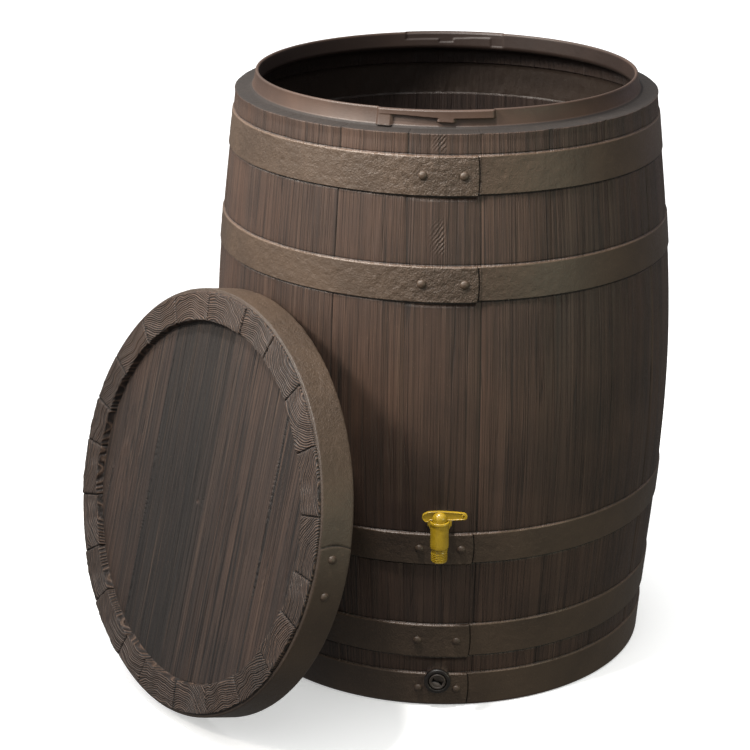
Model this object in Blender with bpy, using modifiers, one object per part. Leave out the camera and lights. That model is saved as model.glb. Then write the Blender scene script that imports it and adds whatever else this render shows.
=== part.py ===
"""A rain barrel made to look like an oak wine barrel, with its lid off and leaning against it.

Metres, +Z up. The origin is on the barrel's axis at the underside of its base, and the tap faces -Y.
The barrel is one blow-moulded shell: its staves, hoops and rivets are relief in that shell, and so are
the lid's. The tap, the drain and their nuts, washers and seals are separate pieces.
"""
import math

import bmesh
import bpy
from mathutils import Matrix, Vector

GAP = 0.0003                       # kept between pieces that touch

# --- Barrel shell ------------------------------------------------------------------------------------
RIM_HEIGHT = 1.030
BELLY_RADIUS = 0.400
BELLY_HEIGHT = 0.511
FALL_BELOW = (0.0197, 4.7)         # depth and rate of the cosine that the staves follow below the belly
FALL_ABOVE = (0.0318, 3.8)         # and above it
WALL = 0.004
STAVE_COUNT = 20
STEPS_PER_STAVE = 4
GROOVE_DEPTH = 0.0015
GROOVE_HALF_ANGLE = math.radians(0.7)
HOOP_PROUD = 0.003
HOOP_EDGE = 0.0025                 # height of the sloping edge of a hoop
HOOPS = ((0.905, 0.966), (0.736, 0.792), (0.280, 0.335), (0.100, 0.161), (0.006, 0.065))
RIVET_RADIUS = 0.007
RIVET_PROUD = 0.0035
RIVET_ANGLES = (math.radians(-5.0), math.radians(5.0))
SHOULDER_HEIGHT = 1.000
SHOULDER_RADIUS = 0.3600
COLLAR_RADIUS = 0.3332             # at its foot; the collar narrows to the rim
RIM_RADIUS = 0.3262
MOUTH_RADIUS = 0.3205
FOOT_RADIUS = 0.3500               # outer edge of the ring that the barrel stands on
FOOT_INNER_RADIUS = 0.3000
CENTRE_PAD_RADIUS = 0.1000
BASE_RECESS = 0.008                # height of the hollow ring under the base

# --- Bayonet rails on the collar, one at the front and one at the back ---------------------------------
RAIL_RADIUS = 0.3400
RAIL_ROOT = 0.0050                 # how far the rails are let into the collar
RAIL_HEIGHTS = (1.0175, 1.0290)
RAIL_ANGLES = (math.radians(-14.0), math.radians(13.9))
STOP_HEIGHTS = (1.0040, 1.0285)
STOP_ANGLES = (math.radians(-18.7), math.radians(-14.4))
DETENT_HEIGHTS = (1.0110, 1.0190)
DETENT_ANGLES = (math.radians(-2.2), math.radians(2.5))

# --- Lid, standing on its hoop's back edge and leaning on the barrel -----------------------------------
LID_HEIGHT = 0.064
LID_BACK_RADIUS = 0.3605
LID_FACE_RADIUS = 0.3520
LID_RECESS_RADIUS = 0.3055
LID_RECESS_DEPTH = 0.013
LID_WALL = 0.004
LID_SKIRT_RADIUS = 0.3475          # the inner skirt that goes over the barrel's collar
LID_HOOP_TOP = 0.059
LID_HOOP_PROUD = 0.0052            # how far the hoop's front edge stands out from the face's edge
LID_STEPS = 64
LUG_RADIUS = 0.3365
LUG_HEIGHTS = (0.0030, 0.0085)
LUG_ARC = math.radians(14.0)
LID_TILT = math.radians(14.14)
LID_FACING = math.radians(218.25)  # compass direction that the lid's face looks to
LID_PLACE = (0.4816, math.radians(220.43))
LID_RIVETS = ((math.radians(4.5), 0.0330), (math.radians(-5.5), 0.0330))

# --- Tap ---------------------------------------------------------------------------------------------
TAP_HEIGHT = 0.358                 # axis of the shank through the wall
TAP_SPINDLE_Y = -0.445             # vertical axis of the valve
TAP_PAD = (-0.3985, -0.3865)       # flat faces moulded on the wall for the washers
TAP_PAD_RADIUS = 0.0215
TAP_SHANK_RADIUS = 0.0130
TAP_SHANK_END = -0.3600
TAP_WATERWAY = 0.0080
TAP_FLANGE = (0.0185, 0.0050)      # radius and thickness
TAP_STEM_RADIUS = 0.0115
TAP_BODY_RADIUS = 0.0158
TAP_BODY_TOP = 0.3745
TAP_BODY_FOOT = 0.3275
TAP_OUTLET_END = 0.3035
TAP_BORE = 0.0100
THREAD_MAJOR = 0.01322             # three-quarter-inch pipe thread
THREAD_DEPTH = 0.00116
THREAD_PITCH = 0.001814
THREAD_TURNS = 10
COLLAR_RING = (0.0178, 0.0055)     # radius and height of the ring clipped round the top of the tap
PLUG_RADIUS = 0.0096
PLUG_BORE = 0.0068
PLUG_SPAN = (0.3330, 0.3735)
PLUG_PORT = 0.0060
PLUG_CROWN = 0.0080                # solid part at the plug's top
PLUG_DRIVE = 0.0080                # square that carries the lever
PLUG_DRIVE_TOP = 0.3850
PLUG_SEALS = (0.3400, 0.3700)
SEAT_SEAL = (0.0052, 0.0040)       # bore radius and length of the rubber seat between plug and waterway
SEAL_SECTION = 0.0008
SEAL_GROOVE = 0.0019
LEVER_BOTTOM = 0.3775
LEVER_TOP = 0.3990
LEVER_HUB_RADIUS = 0.0130
LEVER_THICKNESS = 0.0050
LEVER_REACH = (-0.0285, 0.0457)
LEVER_LONG_TIP = 0.0078            # radius of the long arm's round end
LEVER_HOLE = (0.0390, 0.0017)
WASHER_THICKNESS = 0.0025
TAP_WASHER_RADIUS = 0.0195
TAP_NUT = (0.0190, 0.0080)         # half the width across flats, and thickness

# --- Drain -------------------------------------------------------------------------------------------
DRAIN_HEIGHT = 0.054
DRAIN_PAD = (-0.3755, -0.3600)
DRAIN_PAD_RADIUS = 0.0215
BUSH_FLANGE = (0.0208, 0.0060)
BUSH_SHANK_RADIUS = 0.0165
BUSH_END = -0.3400
BUSH_BORE = 0.0115
BUSH_SEAT_RADIUS = 0.0155          # counterbore that takes the plug's head
BUSH_SEAT_DEPTH = 0.0060
DRAIN_HEAD_RADIUS = 0.0142
DRAIN_HEAD_THICKNESS = 0.0040
DRAIN_SHANK_RADIUS = 0.0111
DRAIN_SHANK_LENGTH = 0.0130
DRAIN_SEAL_THICKNESS = 0.0016
DRAIN_KEY = (0.0095, 0.0028, 0.0050, 0.0016)   # key slot's reach, depth, half width at its ends and waist
DRAIN_KEY_TURN = math.radians(-20.0)
DRAIN_WASHER_RADIUS = 0.0225
DRAIN_NUT = (0.0225, 0.0070)

COLOURS = {
    "barrel_brown": ((0.088, 0.064, 0.050), 0.52),
    "tap_yellow": ((0.74, 0.50, 0.06), 0.32),
    "valve_white": ((0.72, 0.70, 0.64), 0.40),
    "fitting_brown": ((0.060, 0.046, 0.038), 0.45),
    "fitting_black": ((0.022, 0.020, 0.019), 0.45),
    "seal_rubber": ((0.014, 0.014, 0.014), 0.75),
}
SMOOTH_ANGLE = math.radians(35)


# --- Helpers -----------------------------------------------------------------------------------------
def clear_scene():
    for obj in list(bpy.data.objects):
        bpy.data.objects.remove(obj, do_unlink=True)


def make_collection(name):
    collection = bpy.data.collections.new(name)
    bpy.context.scene.collection.children.link(collection)
    return collection


def make_material(name):
    colour, roughness = COLOURS[name]
    material = bpy.data.materials.new(name)
    material.use_nodes = True
    shader = material.node_tree.nodes["Principled BSDF"]
    shader.inputs["Base Color"].default_value = (*colour, 1.0)
    shader.inputs["Roughness"].default_value = roughness
    material.diffuse_color = (*colour, 1.0)
    return material


def add_object(name, mesh, collection, material=None):
    obj = bpy.data.objects.new(name, mesh)
    collection.objects.link(obj)
    if material:
        mesh.materials.append(material)
    return obj


def turned(name, profile, collection, material=None, steps=32):
    """A turned solid about its own Z. The profile runs down the outer side, to the axis or closed."""
    mesh = bpy.data.meshes.new(name)
    points = [(radius, 0.0, height) for radius, height in profile]
    edges = [(i, i + 1) for i in range(len(points) - 1)]
    if points[0][0] > 0.0:
        edges.append((len(points) - 1, 0))
    mesh.from_pydata(points, edges, [])
    obj = add_object(name, mesh, collection, material)
    screw = obj.modifiers.new("Turn", "SCREW")
    screw.axis = "Z"
    screw.steps = steps
    screw.render_steps = steps
    screw.use_merge_vertices = True
    screw.merge_threshold = 0.00001
    screw.use_normal_calculate = False
    return obj


def apply_modifiers(obj):
    depsgraph = bpy.context.evaluated_depsgraph_get()
    mesh = bpy.data.meshes.new_from_object(obj.evaluated_get(depsgraph), depsgraph=depsgraph)
    obj.modifiers.clear()
    obj.data = mesh
    return obj


def smooth(obj):
    obj.data.shade_smooth()
    obj.data.set_sharp_from_angle(angle=SMOOTH_ANGLE)


def cylinder(name, radius, depth, collection, sides=32):
    mesh = bpy.data.meshes.new(name)
    shape = bmesh.new()
    bmesh.ops.create_cone(shape, cap_ends=True, segments=sides, radius1=radius, radius2=radius, depth=depth)
    shape.to_mesh(mesh)
    shape.free()
    return add_object(name, mesh, collection)


def box(name, size, collection):
    mesh = bpy.data.meshes.new(name)
    shape = bmesh.new()
    bmesh.ops.create_cube(shape, size=1.0)
    bmesh.ops.scale(shape, vec=size, verts=shape.verts)
    shape.to_mesh(mesh)
    shape.free()
    return add_object(name, mesh, collection)


def arc_block(name, radii, heights, angles, collection, steps=8):
    """A block bent round Z. Angles count from -Y, positive towards +X."""
    shape = bmesh.new()
    inner, outer = radii
    low, high = heights
    corners = [(inner, low), (outer, low), (outer, high), (inner, high)]
    start = angles[0] - math.pi / 2
    direction = (math.cos(start), math.sin(start))
    verts = [shape.verts.new((r * direction[0], r * direction[1], z)) for r, z in corners]
    face = shape.faces.new(verts)
    bmesh.ops.spin(shape, geom=[face, *face.edges, *face.verts], axis=(0, 0, 1), cent=(0, 0, 0),
                   angle=angles[1] - angles[0], steps=steps)
    bmesh.ops.recalc_face_normals(shape, faces=shape.faces)
    mesh = bpy.data.meshes.new(name)
    shape.to_mesh(mesh)
    shape.free()
    return add_object(name, mesh, collection)


def flattened_dome(name, radius, height, collection):
    mesh = bpy.data.meshes.new(name)
    shape = bmesh.new()
    bmesh.ops.create_uvsphere(shape, u_segments=12, v_segments=6, radius=1.0)
    bmesh.ops.scale(shape, vec=(radius, radius, height), verts=shape.verts)
    shape.to_mesh(mesh)
    shape.free()
    return add_object(name, mesh, collection)


def boolean(obj, tool, operation):
    modifier = obj.modifiers.new(operation.title(), "BOOLEAN")
    modifier.object = tool
    modifier.operation = operation
    modifier.solver = "EXACT"
    tool.hide_render = True
    tool.display_type = "WIRE"
    return modifier


def along_y(y, height, x=0.0):
    """Places a piece turned about Z so that its own +Z points out of the barrel's front, along -Y."""
    return Matrix.Translation((x, y, height)) @ Matrix.Rotation(math.pi / 2, 4, "X")


def round_front(angle, radius, height):
    """A point on a circle about Z, its angle counted from -Y."""
    return Vector((radius * math.sin(angle), -radius * math.cos(angle), height))


# --- Barrel ------------------------------------------------------------------------------------------
def stave_radius(height):
    depth, rate = FALL_ABOVE if height > BELLY_HEIGHT else FALL_BELOW
    return BELLY_RADIUS - depth * (1.0 - math.cos(rate * (height - BELLY_HEIGHT)))


def hoop_profile(bottom, top):
    """The four corners of a hoop's section, from its top edge down."""
    return [(stave_radius(top), top),
            (stave_radius(top - HOOP_EDGE) + HOOP_PROUD, top - HOOP_EDGE),
            (stave_radius(bottom + HOOP_EDGE) + HOOP_PROUD, bottom + HOOP_EDGE),
            (stave_radius(bottom), bottom)]


def between(top, bottom, count):
    """Heights of the points on the staves between two hoops, from the top down."""
    return [top + (bottom - top) * (i + 1) / (count + 1) for i in range(count)]


def barrel_profile():
    inner_heights = [0.020, 0.190, 0.350, BELLY_HEIGHT, 0.680, 0.840, 0.984]
    inside = [(0.0, WALL), (CENTRE_PAD_RADIUS, WALL), (CENTRE_PAD_RADIUS + 2 * WALL, BASE_RECESS + WALL),
              (FOOT_INNER_RADIUS - 2 * WALL, BASE_RECESS + WALL), (FOOT_INNER_RADIUS, WALL),
              (FOOT_RADIUS - WALL, WALL)]
    inside += [(stave_radius(z) - WALL, z) for z in inner_heights]
    inside += [(SHOULDER_RADIUS - 0.030, SHOULDER_HEIGHT - 0.0045),
               (MOUTH_RADIUS + 0.003, SHOULDER_HEIGHT + 0.001)]
    rim = [(MOUTH_RADIUS, RIM_HEIGHT - 0.002), (MOUTH_RADIUS + 0.002, RIM_HEIGHT),
           (RIM_RADIUS - 0.0015, RIM_HEIGHT), (RIM_RADIUS, RIM_HEIGHT - 0.0015),
           (COLLAR_RADIUS, SHOULDER_HEIGHT), (SHOULDER_RADIUS - 0.0015, SHOULDER_HEIGHT),
           (SHOULDER_RADIUS, SHOULDER_HEIGHT - 0.002)]
    outside = []
    above = None
    for number, (bottom, top) in enumerate(HOOPS):
        if above is not None:
            outside += [(stave_radius(z), z) for z in between(above, top, 4 if number == 2 else 1)]
        outside += hoop_profile(bottom, top)
        above = bottom
    outside[-1] = (stave_radius(0.0) - 0.001, HOOPS[-1][0])
    base = [(FOOT_RADIUS + 0.006, 0.0008), (FOOT_RADIUS, 0.0), (FOOT_INNER_RADIUS, 0.0),
            (FOOT_INNER_RADIUS - 2 * WALL, BASE_RECESS), (CENTRE_PAD_RADIUS + 2 * WALL, BASE_RECESS),
            (CENTRE_PAD_RADIUS, 0.0), (0.0, 0.0)]
    return inside + rim + outside + base


def on_a_stave(height):
    """True between the hoops, where the grooves between staves show."""
    if height > SHOULDER_HEIGHT - 0.001:
        return False
    return not any(bottom - 0.0005 < height < top + 0.0005 for bottom, top in HOOPS)


def shape_staves(barrel):
    """Gathers each stave's edge points close to its seams, and sinks the seams between the hoops."""
    step = 2 * math.pi / (STAVE_COUNT * STEPS_PER_STAVE)
    half_stave = math.pi / STAVE_COUNT
    front_seam = -math.pi / 2 + half_stave
    for vertex in barrel.data.vertices:
        x, y, z = vertex.co
        radius = math.hypot(x, y)
        if radius < 0.001:
            continue
        number = round(math.atan2(y, x) / step)
        place = number % STEPS_PER_STAVE
        seam = (number - place) * step
        places = (0.0, GROOVE_HALF_ANGLE, half_stave, 2 * half_stave - GROOVE_HALF_ANGLE)
        angle = seam + places[place]
        if place == 0 and radius > stave_radius(z) - 0.5 * WALL and on_a_stave(z):
            radius -= GROOVE_DEPTH
        angle += front_seam - math.floor(front_seam / (2 * half_stave)) * 2 * half_stave
        vertex.co = (radius * math.cos(angle), radius * math.sin(angle), z)


def make_barrel(collection, cutters, material):
    steps = STAVE_COUNT * STEPS_PER_STAVE
    barrel = turned("barrel_body", barrel_profile(), collection, material, steps)
    apply_modifiers(barrel)
    shape_staves(barrel)
    bayonet = (("rail", RAIL_HEIGHTS, RAIL_ANGLES), ("stop", STOP_HEIGHTS, STOP_ANGLES),
               ("detent", DETENT_HEIGHTS, DETENT_ANGLES))
    radii = (COLLAR_RADIUS - RAIL_ROOT, RAIL_RADIUS)
    for turn in (0.0, math.pi):
        for label, heights, angles in bayonet:
            block = arc_block("bayonet_" + label, radii, heights, angles, cutters, steps=4)
            block.rotation_euler.z = turn
            boolean(barrel, block, "UNION")
    for bottom, top in HOOPS:
        height = (bottom + top) / 2
        slope = math.atan2(stave_radius(top) - stave_radius(bottom), top - bottom)
        for angle in RIVET_ANGLES:
            dome = flattened_dome("rivet_head", RIVET_RADIUS, RIVET_PROUD, cutters)
            spot = round_front(angle, stave_radius(height) + HOOP_PROUD, height)
            facing = Matrix.Rotation(angle, 4, "Z") @ Matrix.Rotation(math.pi / 2 + slope, 4, "X")
            dome.matrix_world = Matrix.Translation(spot) @ facing
            boolean(barrel, dome, "UNION")
    for label, height, pad, radius, hole in (
            ("tap", TAP_HEIGHT, TAP_PAD, TAP_PAD_RADIUS, TAP_SHANK_RADIUS + GAP),
            ("drain", DRAIN_HEIGHT, DRAIN_PAD, DRAIN_PAD_RADIUS, BUSH_SHANK_RADIUS + GAP)):
        middle = (pad[0] + pad[1]) / 2
        boss = cylinder(label + "_pad", radius, pad[1] - pad[0], cutters)
        boss.matrix_world = along_y(middle, height)
        boolean(barrel, boss, "UNION")
        drill = cylinder(label + "_hole", hole, 0.05, cutters)
        drill.matrix_world = along_y(middle, height)
        boolean(barrel, drill, "DIFFERENCE")
    return barrel


# --- Lid ---------------------------------------------------------------------------------------------
def lid_profile():
    floor = LID_HEIGHT - LID_RECESS_DEPTH
    skirt_inner = LID_SKIRT_RADIUS - LID_WALL
    top = [(0.0, floor), (LID_RECESS_RADIUS - 0.001, floor), (LID_RECESS_RADIUS, LID_HEIGHT - 0.001),
           (LID_RECESS_RADIUS + 0.0015, LID_HEIGHT), (LID_FACE_RADIUS - 0.001, LID_HEIGHT),
           (LID_FACE_RADIUS, LID_HEIGHT - 0.001), (LID_FACE_RADIUS + 0.0005, LID_HOOP_TOP + 0.0005),
           (LID_FACE_RADIUS + 0.0040, LID_HOOP_TOP), (LID_FACE_RADIUS + LID_HOOP_PROUD, LID_HOOP_TOP - 0.002)]
    side = [(LID_BACK_RADIUS, 0.0015), (LID_BACK_RADIUS - 0.001, 0.0), (LID_BACK_RADIUS - LID_WALL, 0.0)]
    under = [(LID_FACE_RADIUS + 0.0010, LID_HEIGHT - 2 * LID_WALL),
             (LID_SKIRT_RADIUS, LID_HEIGHT - 2 * LID_WALL), (LID_SKIRT_RADIUS, 0.0025),
             (skirt_inner, 0.0025), (skirt_inner, LID_HEIGHT - LID_WALL),
             (LID_RECESS_RADIUS + LID_WALL, LID_HEIGHT - LID_WALL),
             (LID_RECESS_RADIUS + LID_WALL - 0.001, floor - LID_WALL), (0.0, floor - LID_WALL)]
    return top + side + under


def lid_pose():
    """Local +Z is the way the lid's face looks, and the local origin is in the plane of its back edge."""
    level = math.pi / 2 - LID_TILT
    height = LID_BACK_RADIUS * math.cos(LID_TILT) + 0.0004
    distance, direction = LID_PLACE
    place = Matrix.Translation((distance * math.cos(direction), distance * math.sin(direction), height))
    return place @ Matrix.Rotation(LID_FACING, 4, "Z") @ Matrix.Rotation(level, 4, "Y")


def make_lid(collection, cutters, material):
    lid = turned("lid", lid_profile(), collection, material, LID_STEPS)
    pose = lid_pose()
    lid.matrix_world = pose
    for turn in (0.0, math.pi):
        lug = arc_block("lid_lug", (LUG_RADIUS, LID_SKIRT_RADIUS - 0.5 * LID_WALL), LUG_HEIGHTS,
                        (-LUG_ARC / 2, LUG_ARC / 2), cutters, steps=4)
        lug.matrix_world = pose @ Matrix.Rotation(turn, 4, "Z")
        boolean(lid, lug, "UNION")
    for angle, height in LID_RIVETS:
        front_radius = LID_FACE_RADIUS + LID_HOOP_PROUD
        side = front_radius + (LID_BACK_RADIUS - front_radius) * (1 - height / LID_HOOP_TOP)
        dome = flattened_dome("lid_rivet", RIVET_RADIUS, RIVET_PROUD, cutters)
        spot = Matrix.Rotation(angle, 4, "Z") @ Matrix.Translation((0.0, side, height))
        dome.matrix_world = pose @ spot @ Matrix.Rotation(math.pi / 2, 4, "X")
        boolean(lid, dome, "UNION")
    return lid


# --- Tap ---------------------------------------------------------------------------------------------
def ring(name, inner, outer, depth, collection, material):
    return turned(name, [(inner, depth), (outer, depth), (outer, 0.0), (inner, 0.0)], collection, material)


def thread_profile(major, top, turns):
    """Zigzag of a thread's section, from its top down."""
    points = []
    for turn in range(turns):
        crest = top - (turn + 0.5) * THREAD_PITCH
        points += [(major - THREAD_DEPTH, crest + THREAD_PITCH / 2), (major, crest)]
    return points + [(major - THREAD_DEPTH, top - turns * THREAD_PITCH)]


def hex_nut(name, half_flats, thickness, bore, collection, cutters, material):
    nut = cylinder(name, half_flats / math.cos(math.pi / 6), thickness, collection, sides=6)
    nut.data.materials.append(material)
    boolean(nut, cylinder(name + "_bore", bore, 2 * thickness, cutters), "DIFFERENCE")
    return nut


def make_tap_body(collection, cutters, material):
    outlet_top = TAP_OUTLET_END + 0.0015 + THREAD_TURNS * THREAD_PITCH
    housing = ([(0.0, TAP_BODY_TOP), (TAP_BODY_RADIUS - 0.0025, TAP_BODY_TOP),
                (TAP_BODY_RADIUS - 0.0025, TAP_BODY_TOP - COLLAR_RING[1] + 0.001),
                (TAP_BODY_RADIUS, TAP_BODY_TOP - COLLAR_RING[1] + 0.001),
                (TAP_BODY_RADIUS, TAP_BODY_FOOT), (TAP_BODY_RADIUS - 0.002, TAP_BODY_FOOT - 0.002)]
               + thread_profile(THREAD_MAJOR, outlet_top, THREAD_TURNS)
               + [(THREAD_MAJOR - 0.002, TAP_OUTLET_END), (0.0, TAP_OUTLET_END)])
    body = turned("tap_body", housing, collection, material, 32)
    body.location.y = TAP_SPINDLE_Y
    flange_front = TAP_PAD[0] - GAP - WASHER_THICKNESS - GAP
    stem_length = flange_front - TAP_SPINDLE_Y
    flange_radius, flange_depth = TAP_FLANGE
    inner_end = flange_front - TAP_SHANK_END
    stem = turned("tap_stem", [(0.0, stem_length), (TAP_STEM_RADIUS, stem_length),
                               (TAP_STEM_RADIUS, flange_depth), (flange_radius - 0.001, flange_depth),
                               (flange_radius, flange_depth - 0.001), (flange_radius, 0.0),
                               (TAP_SHANK_RADIUS, 0.0), (TAP_SHANK_RADIUS, inner_end + 0.001),
                               (TAP_SHANK_RADIUS - 0.001, inner_end), (0.0, inner_end)], cutters)
    stem.matrix_world = along_y(flange_front, TAP_HEIGHT)
    boolean(body, stem, "UNION")
    bore = cylinder("tap_bore", TAP_BORE, 0.2, cutters)
    bore.location = (0.0, TAP_SPINDLE_Y, TAP_BODY_TOP)
    boolean(body, bore, "DIFFERENCE")
    waterway_length = TAP_SHANK_END + 0.01 - TAP_SPINDLE_Y
    waterway = cylinder("tap_waterway", TAP_WATERWAY, waterway_length, cutters)
    waterway.matrix_world = along_y(TAP_SPINDLE_Y + waterway_length / 2, TAP_HEIGHT)
    boolean(body, waterway, "DIFFERENCE")
    return body


def make_tap_plug(collection, cutters, material):
    bottom, top = PLUG_SPAN
    floor = PLUG_RADIUS - 2 * SEAL_SECTION - 0.0004

    def groove(height):
        return [(PLUG_RADIUS, height + SEAL_GROOVE / 2), (floor, height + SEAL_GROOVE / 2),
                (floor, height - SEAL_GROOVE / 2), (PLUG_RADIUS, height - SEAL_GROOVE / 2)]

    low_seal, high_seal = PLUG_SEALS
    profile = ([(0.0, top), (PLUG_RADIUS, top)] + groove(high_seal) + groove(low_seal)
               + [(PLUG_RADIUS, bottom), (PLUG_BORE, bottom), (PLUG_BORE, top - PLUG_CROWN),
                  (0.0, top - PLUG_CROWN)])
    plug = turned("tap_valve_plug", profile, collection, material)
    plug.location.y = TAP_SPINDLE_Y
    drive = box("plug_drive", (PLUG_DRIVE, PLUG_DRIVE, PLUG_DRIVE_TOP - top + 0.002), cutters)
    drive.location = (0.0, TAP_SPINDLE_Y, (PLUG_DRIVE_TOP + top - 0.002) / 2)
    boolean(plug, drive, "UNION")
    port = cylinder("plug_port", PLUG_PORT, 1.8 * PLUG_RADIUS, cutters, sides=24)
    port_place = Matrix.Translation((-PLUG_RADIUS, TAP_SPINDLE_Y, TAP_HEIGHT))
    port.matrix_world = port_place @ Matrix.Rotation(math.pi / 2, 4, "Y")
    boolean(plug, port, "DIFFERENCE")
    return plug


def seal_ring(name, outer_radius, height, collection, material):
    """A round-section ring on the valve plug, in its groove."""
    bpy.ops.mesh.primitive_torus_add(major_segments=28, minor_segments=8,
                                     major_radius=outer_radius - SEAL_SECTION, minor_radius=SEAL_SECTION,
                                     location=(0.0, TAP_SPINDLE_Y, height))
    seal = bpy.context.object
    seal.name = name
    seal.data.name = name
    seal.data.materials.append(material)
    for holder in list(seal.users_collection):
        holder.objects.unlink(seal)
    collection.objects.link(seal)
    return seal


def make_seat_seal(collection, cutters, material):
    """A short sleeve in the waterway, hollowed at its front end to bear on the valve plug."""
    bore, length = SEAT_SEAL
    back = TAP_SPINDLE_Y + PLUG_RADIUS + length
    front = TAP_SPINDLE_Y + 0.5 * PLUG_RADIUS
    seat = ring("tap_seat_seal", bore, TAP_WATERWAY - GAP, back - front, collection, material)
    seat.matrix_world = along_y(back, TAP_HEIGHT)
    hollow = cylinder("seat_hollow", PLUG_RADIUS + GAP, 0.05, cutters)
    hollow.location = (0.0, TAP_SPINDLE_Y, TAP_HEIGHT)
    boolean(seat, hollow, "DIFFERENCE")
    return seat


def wing_outline(reach, half_height, tip_radius, middle):
    """Half of the lever's plate, from its hub to its round tip, as points in X and Z."""
    side = 1.0 if reach > 0 else -1.0
    tip = reach - side * tip_radius
    points = [(0.0, middle - half_height)]
    for i in range(9):
        angle = -math.pi / 2 + math.pi * i / 8
        points.append((tip + side * tip_radius * math.cos(angle), middle + tip_radius * math.sin(angle)))
    return points + [(0.0, middle + half_height)]


def flat_plate(name, outline, thickness, collection):
    """A closed outline in X and Z with a thickness along Y."""
    curve = bpy.data.curves.new(name, "CURVE")
    curve.dimensions = "2D"
    curve.fill_mode = "BOTH"
    curve.extrude = thickness / 2
    spline = curve.splines.new("POLY")
    spline.points.add(len(outline) - 1)
    for point, (x, z) in zip(spline.points, outline):
        point.co = (x, z, 0.0, 1.0)
    spline.use_cyclic_u = True
    drawn = bpy.data.objects.new(name + "_outline", curve)
    collection.objects.link(drawn)
    bpy.context.view_layer.update()
    mesh = bpy.data.meshes.new_from_object(drawn.evaluated_get(bpy.context.evaluated_depsgraph_get()))
    shape = bmesh.new()
    shape.from_mesh(mesh)
    bmesh.ops.remove_doubles(shape, verts=shape.verts, dist=0.00001)
    bmesh.ops.recalc_face_normals(shape, faces=shape.faces)
    shape.to_mesh(mesh)
    shape.free()
    bpy.data.objects.remove(drawn)
    plate = bpy.data.objects.new(name, mesh)
    collection.objects.link(plate)
    plate.rotation_euler.x = math.pi / 2
    return plate


def make_tap_lever(collection, cutters, material):
    hub_top = LEVER_TOP - 0.001
    shoulder = hub_top - LEVER_HUB_RADIUS
    dome = [(0.0, hub_top)]
    for i in range(1, 9):
        angle = math.pi / 2 * i / 8
        dome.append((LEVER_HUB_RADIUS * math.sin(angle), shoulder + LEVER_HUB_RADIUS * math.cos(angle)))
    hub = dome + [(LEVER_HUB_RADIUS, LEVER_BOTTOM), (0.0, LEVER_BOTTOM)]
    lever = turned("tap_lever", hub, collection, material)
    lever.location.y = TAP_SPINDLE_Y
    middle = (LEVER_BOTTOM + LEVER_TOP) / 2
    half = (LEVER_TOP - LEVER_BOTTOM) / 2
    for label, reach, tip in (("short", LEVER_REACH[0], half), ("long", LEVER_REACH[1], LEVER_LONG_TIP)):
        outline = wing_outline(reach, half, tip, middle)
        wing = flat_plate("lever_wing_" + label, outline, LEVER_THICKNESS, cutters)
        wing.location.y = TAP_SPINDLE_Y
        boolean(lever, wing, "UNION")
    hole = cylinder("lever_hole", LEVER_HOLE[1], 0.02, cutters, sides=12)
    hole.matrix_world = along_y(TAP_SPINDLE_Y, middle, LEVER_HOLE[0])
    boolean(lever, hole, "DIFFERENCE")
    socket_top = PLUG_DRIVE_TOP + GAP
    width = PLUG_DRIVE + 2 * GAP
    socket = box("lever_socket", (width, width, socket_top - LEVER_BOTTOM + 0.004), cutters)
    socket.location = (0.0, TAP_SPINDLE_Y, (socket_top + LEVER_BOTTOM - 0.004) / 2)
    boolean(lever, socket, "DIFFERENCE")
    return lever


def make_tap_collar(collection, material):
    """The ring clipped round the top of the tap, which keeps the valve plug in."""
    outer, height = COLLAR_RING
    bottom = TAP_BODY_TOP - height + 0.001 + GAP
    lid_under = TAP_BODY_TOP + GAP
    top = LEVER_BOTTOM - GAP
    neck = TAP_BODY_RADIUS - 0.0025 + GAP
    eye = PLUG_DRIVE * math.sqrt(0.5) + 0.0006
    profile = [(eye, top), (outer - 0.0022, top), (outer, top - 0.0015), (outer, bottom), (neck, bottom),
               (neck, lid_under), (eye, lid_under)]
    collar = turned("tap_collar", profile, collection, material, 32)
    collar.location.y = TAP_SPINDLE_Y
    return collar


def make_tap(collection, cutters, materials):
    yellow, white = materials["tap_yellow"], materials["valve_white"]
    rubber, black = materials["seal_rubber"], materials["fitting_black"]
    make_tap_body(collection, cutters, yellow)
    make_tap_collar(collection, yellow)
    make_tap_plug(collection, cutters, white)
    for label, height in zip(("lower", "upper"), PLUG_SEALS):
        seal_ring("tap_plug_seal_" + label, PLUG_RADIUS - 0.0001, height, collection, rubber)
    make_seat_seal(collection, cutters, rubber)
    make_tap_lever(collection, cutters, yellow)
    bore = TAP_SHANK_RADIUS + GAP
    for label, place in (("outer", TAP_PAD[0] - GAP), ("inner", TAP_PAD[1] + GAP + WASHER_THICKNESS)):
        washer = ring(f"tap_{label}_washer", bore, TAP_WASHER_RADIUS, WASHER_THICKNESS, collection, rubber)
        washer.matrix_world = along_y(place, TAP_HEIGHT)
    half_flats, thickness = TAP_NUT
    nut = hex_nut("tap_lock_nut", half_flats, thickness, bore, collection, cutters, black)
    nut.matrix_world = along_y(TAP_PAD[1] + 2 * GAP + WASHER_THICKNESS + thickness / 2, TAP_HEIGHT)
    nut.modifiers[0].object.matrix_world = nut.matrix_world


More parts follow.
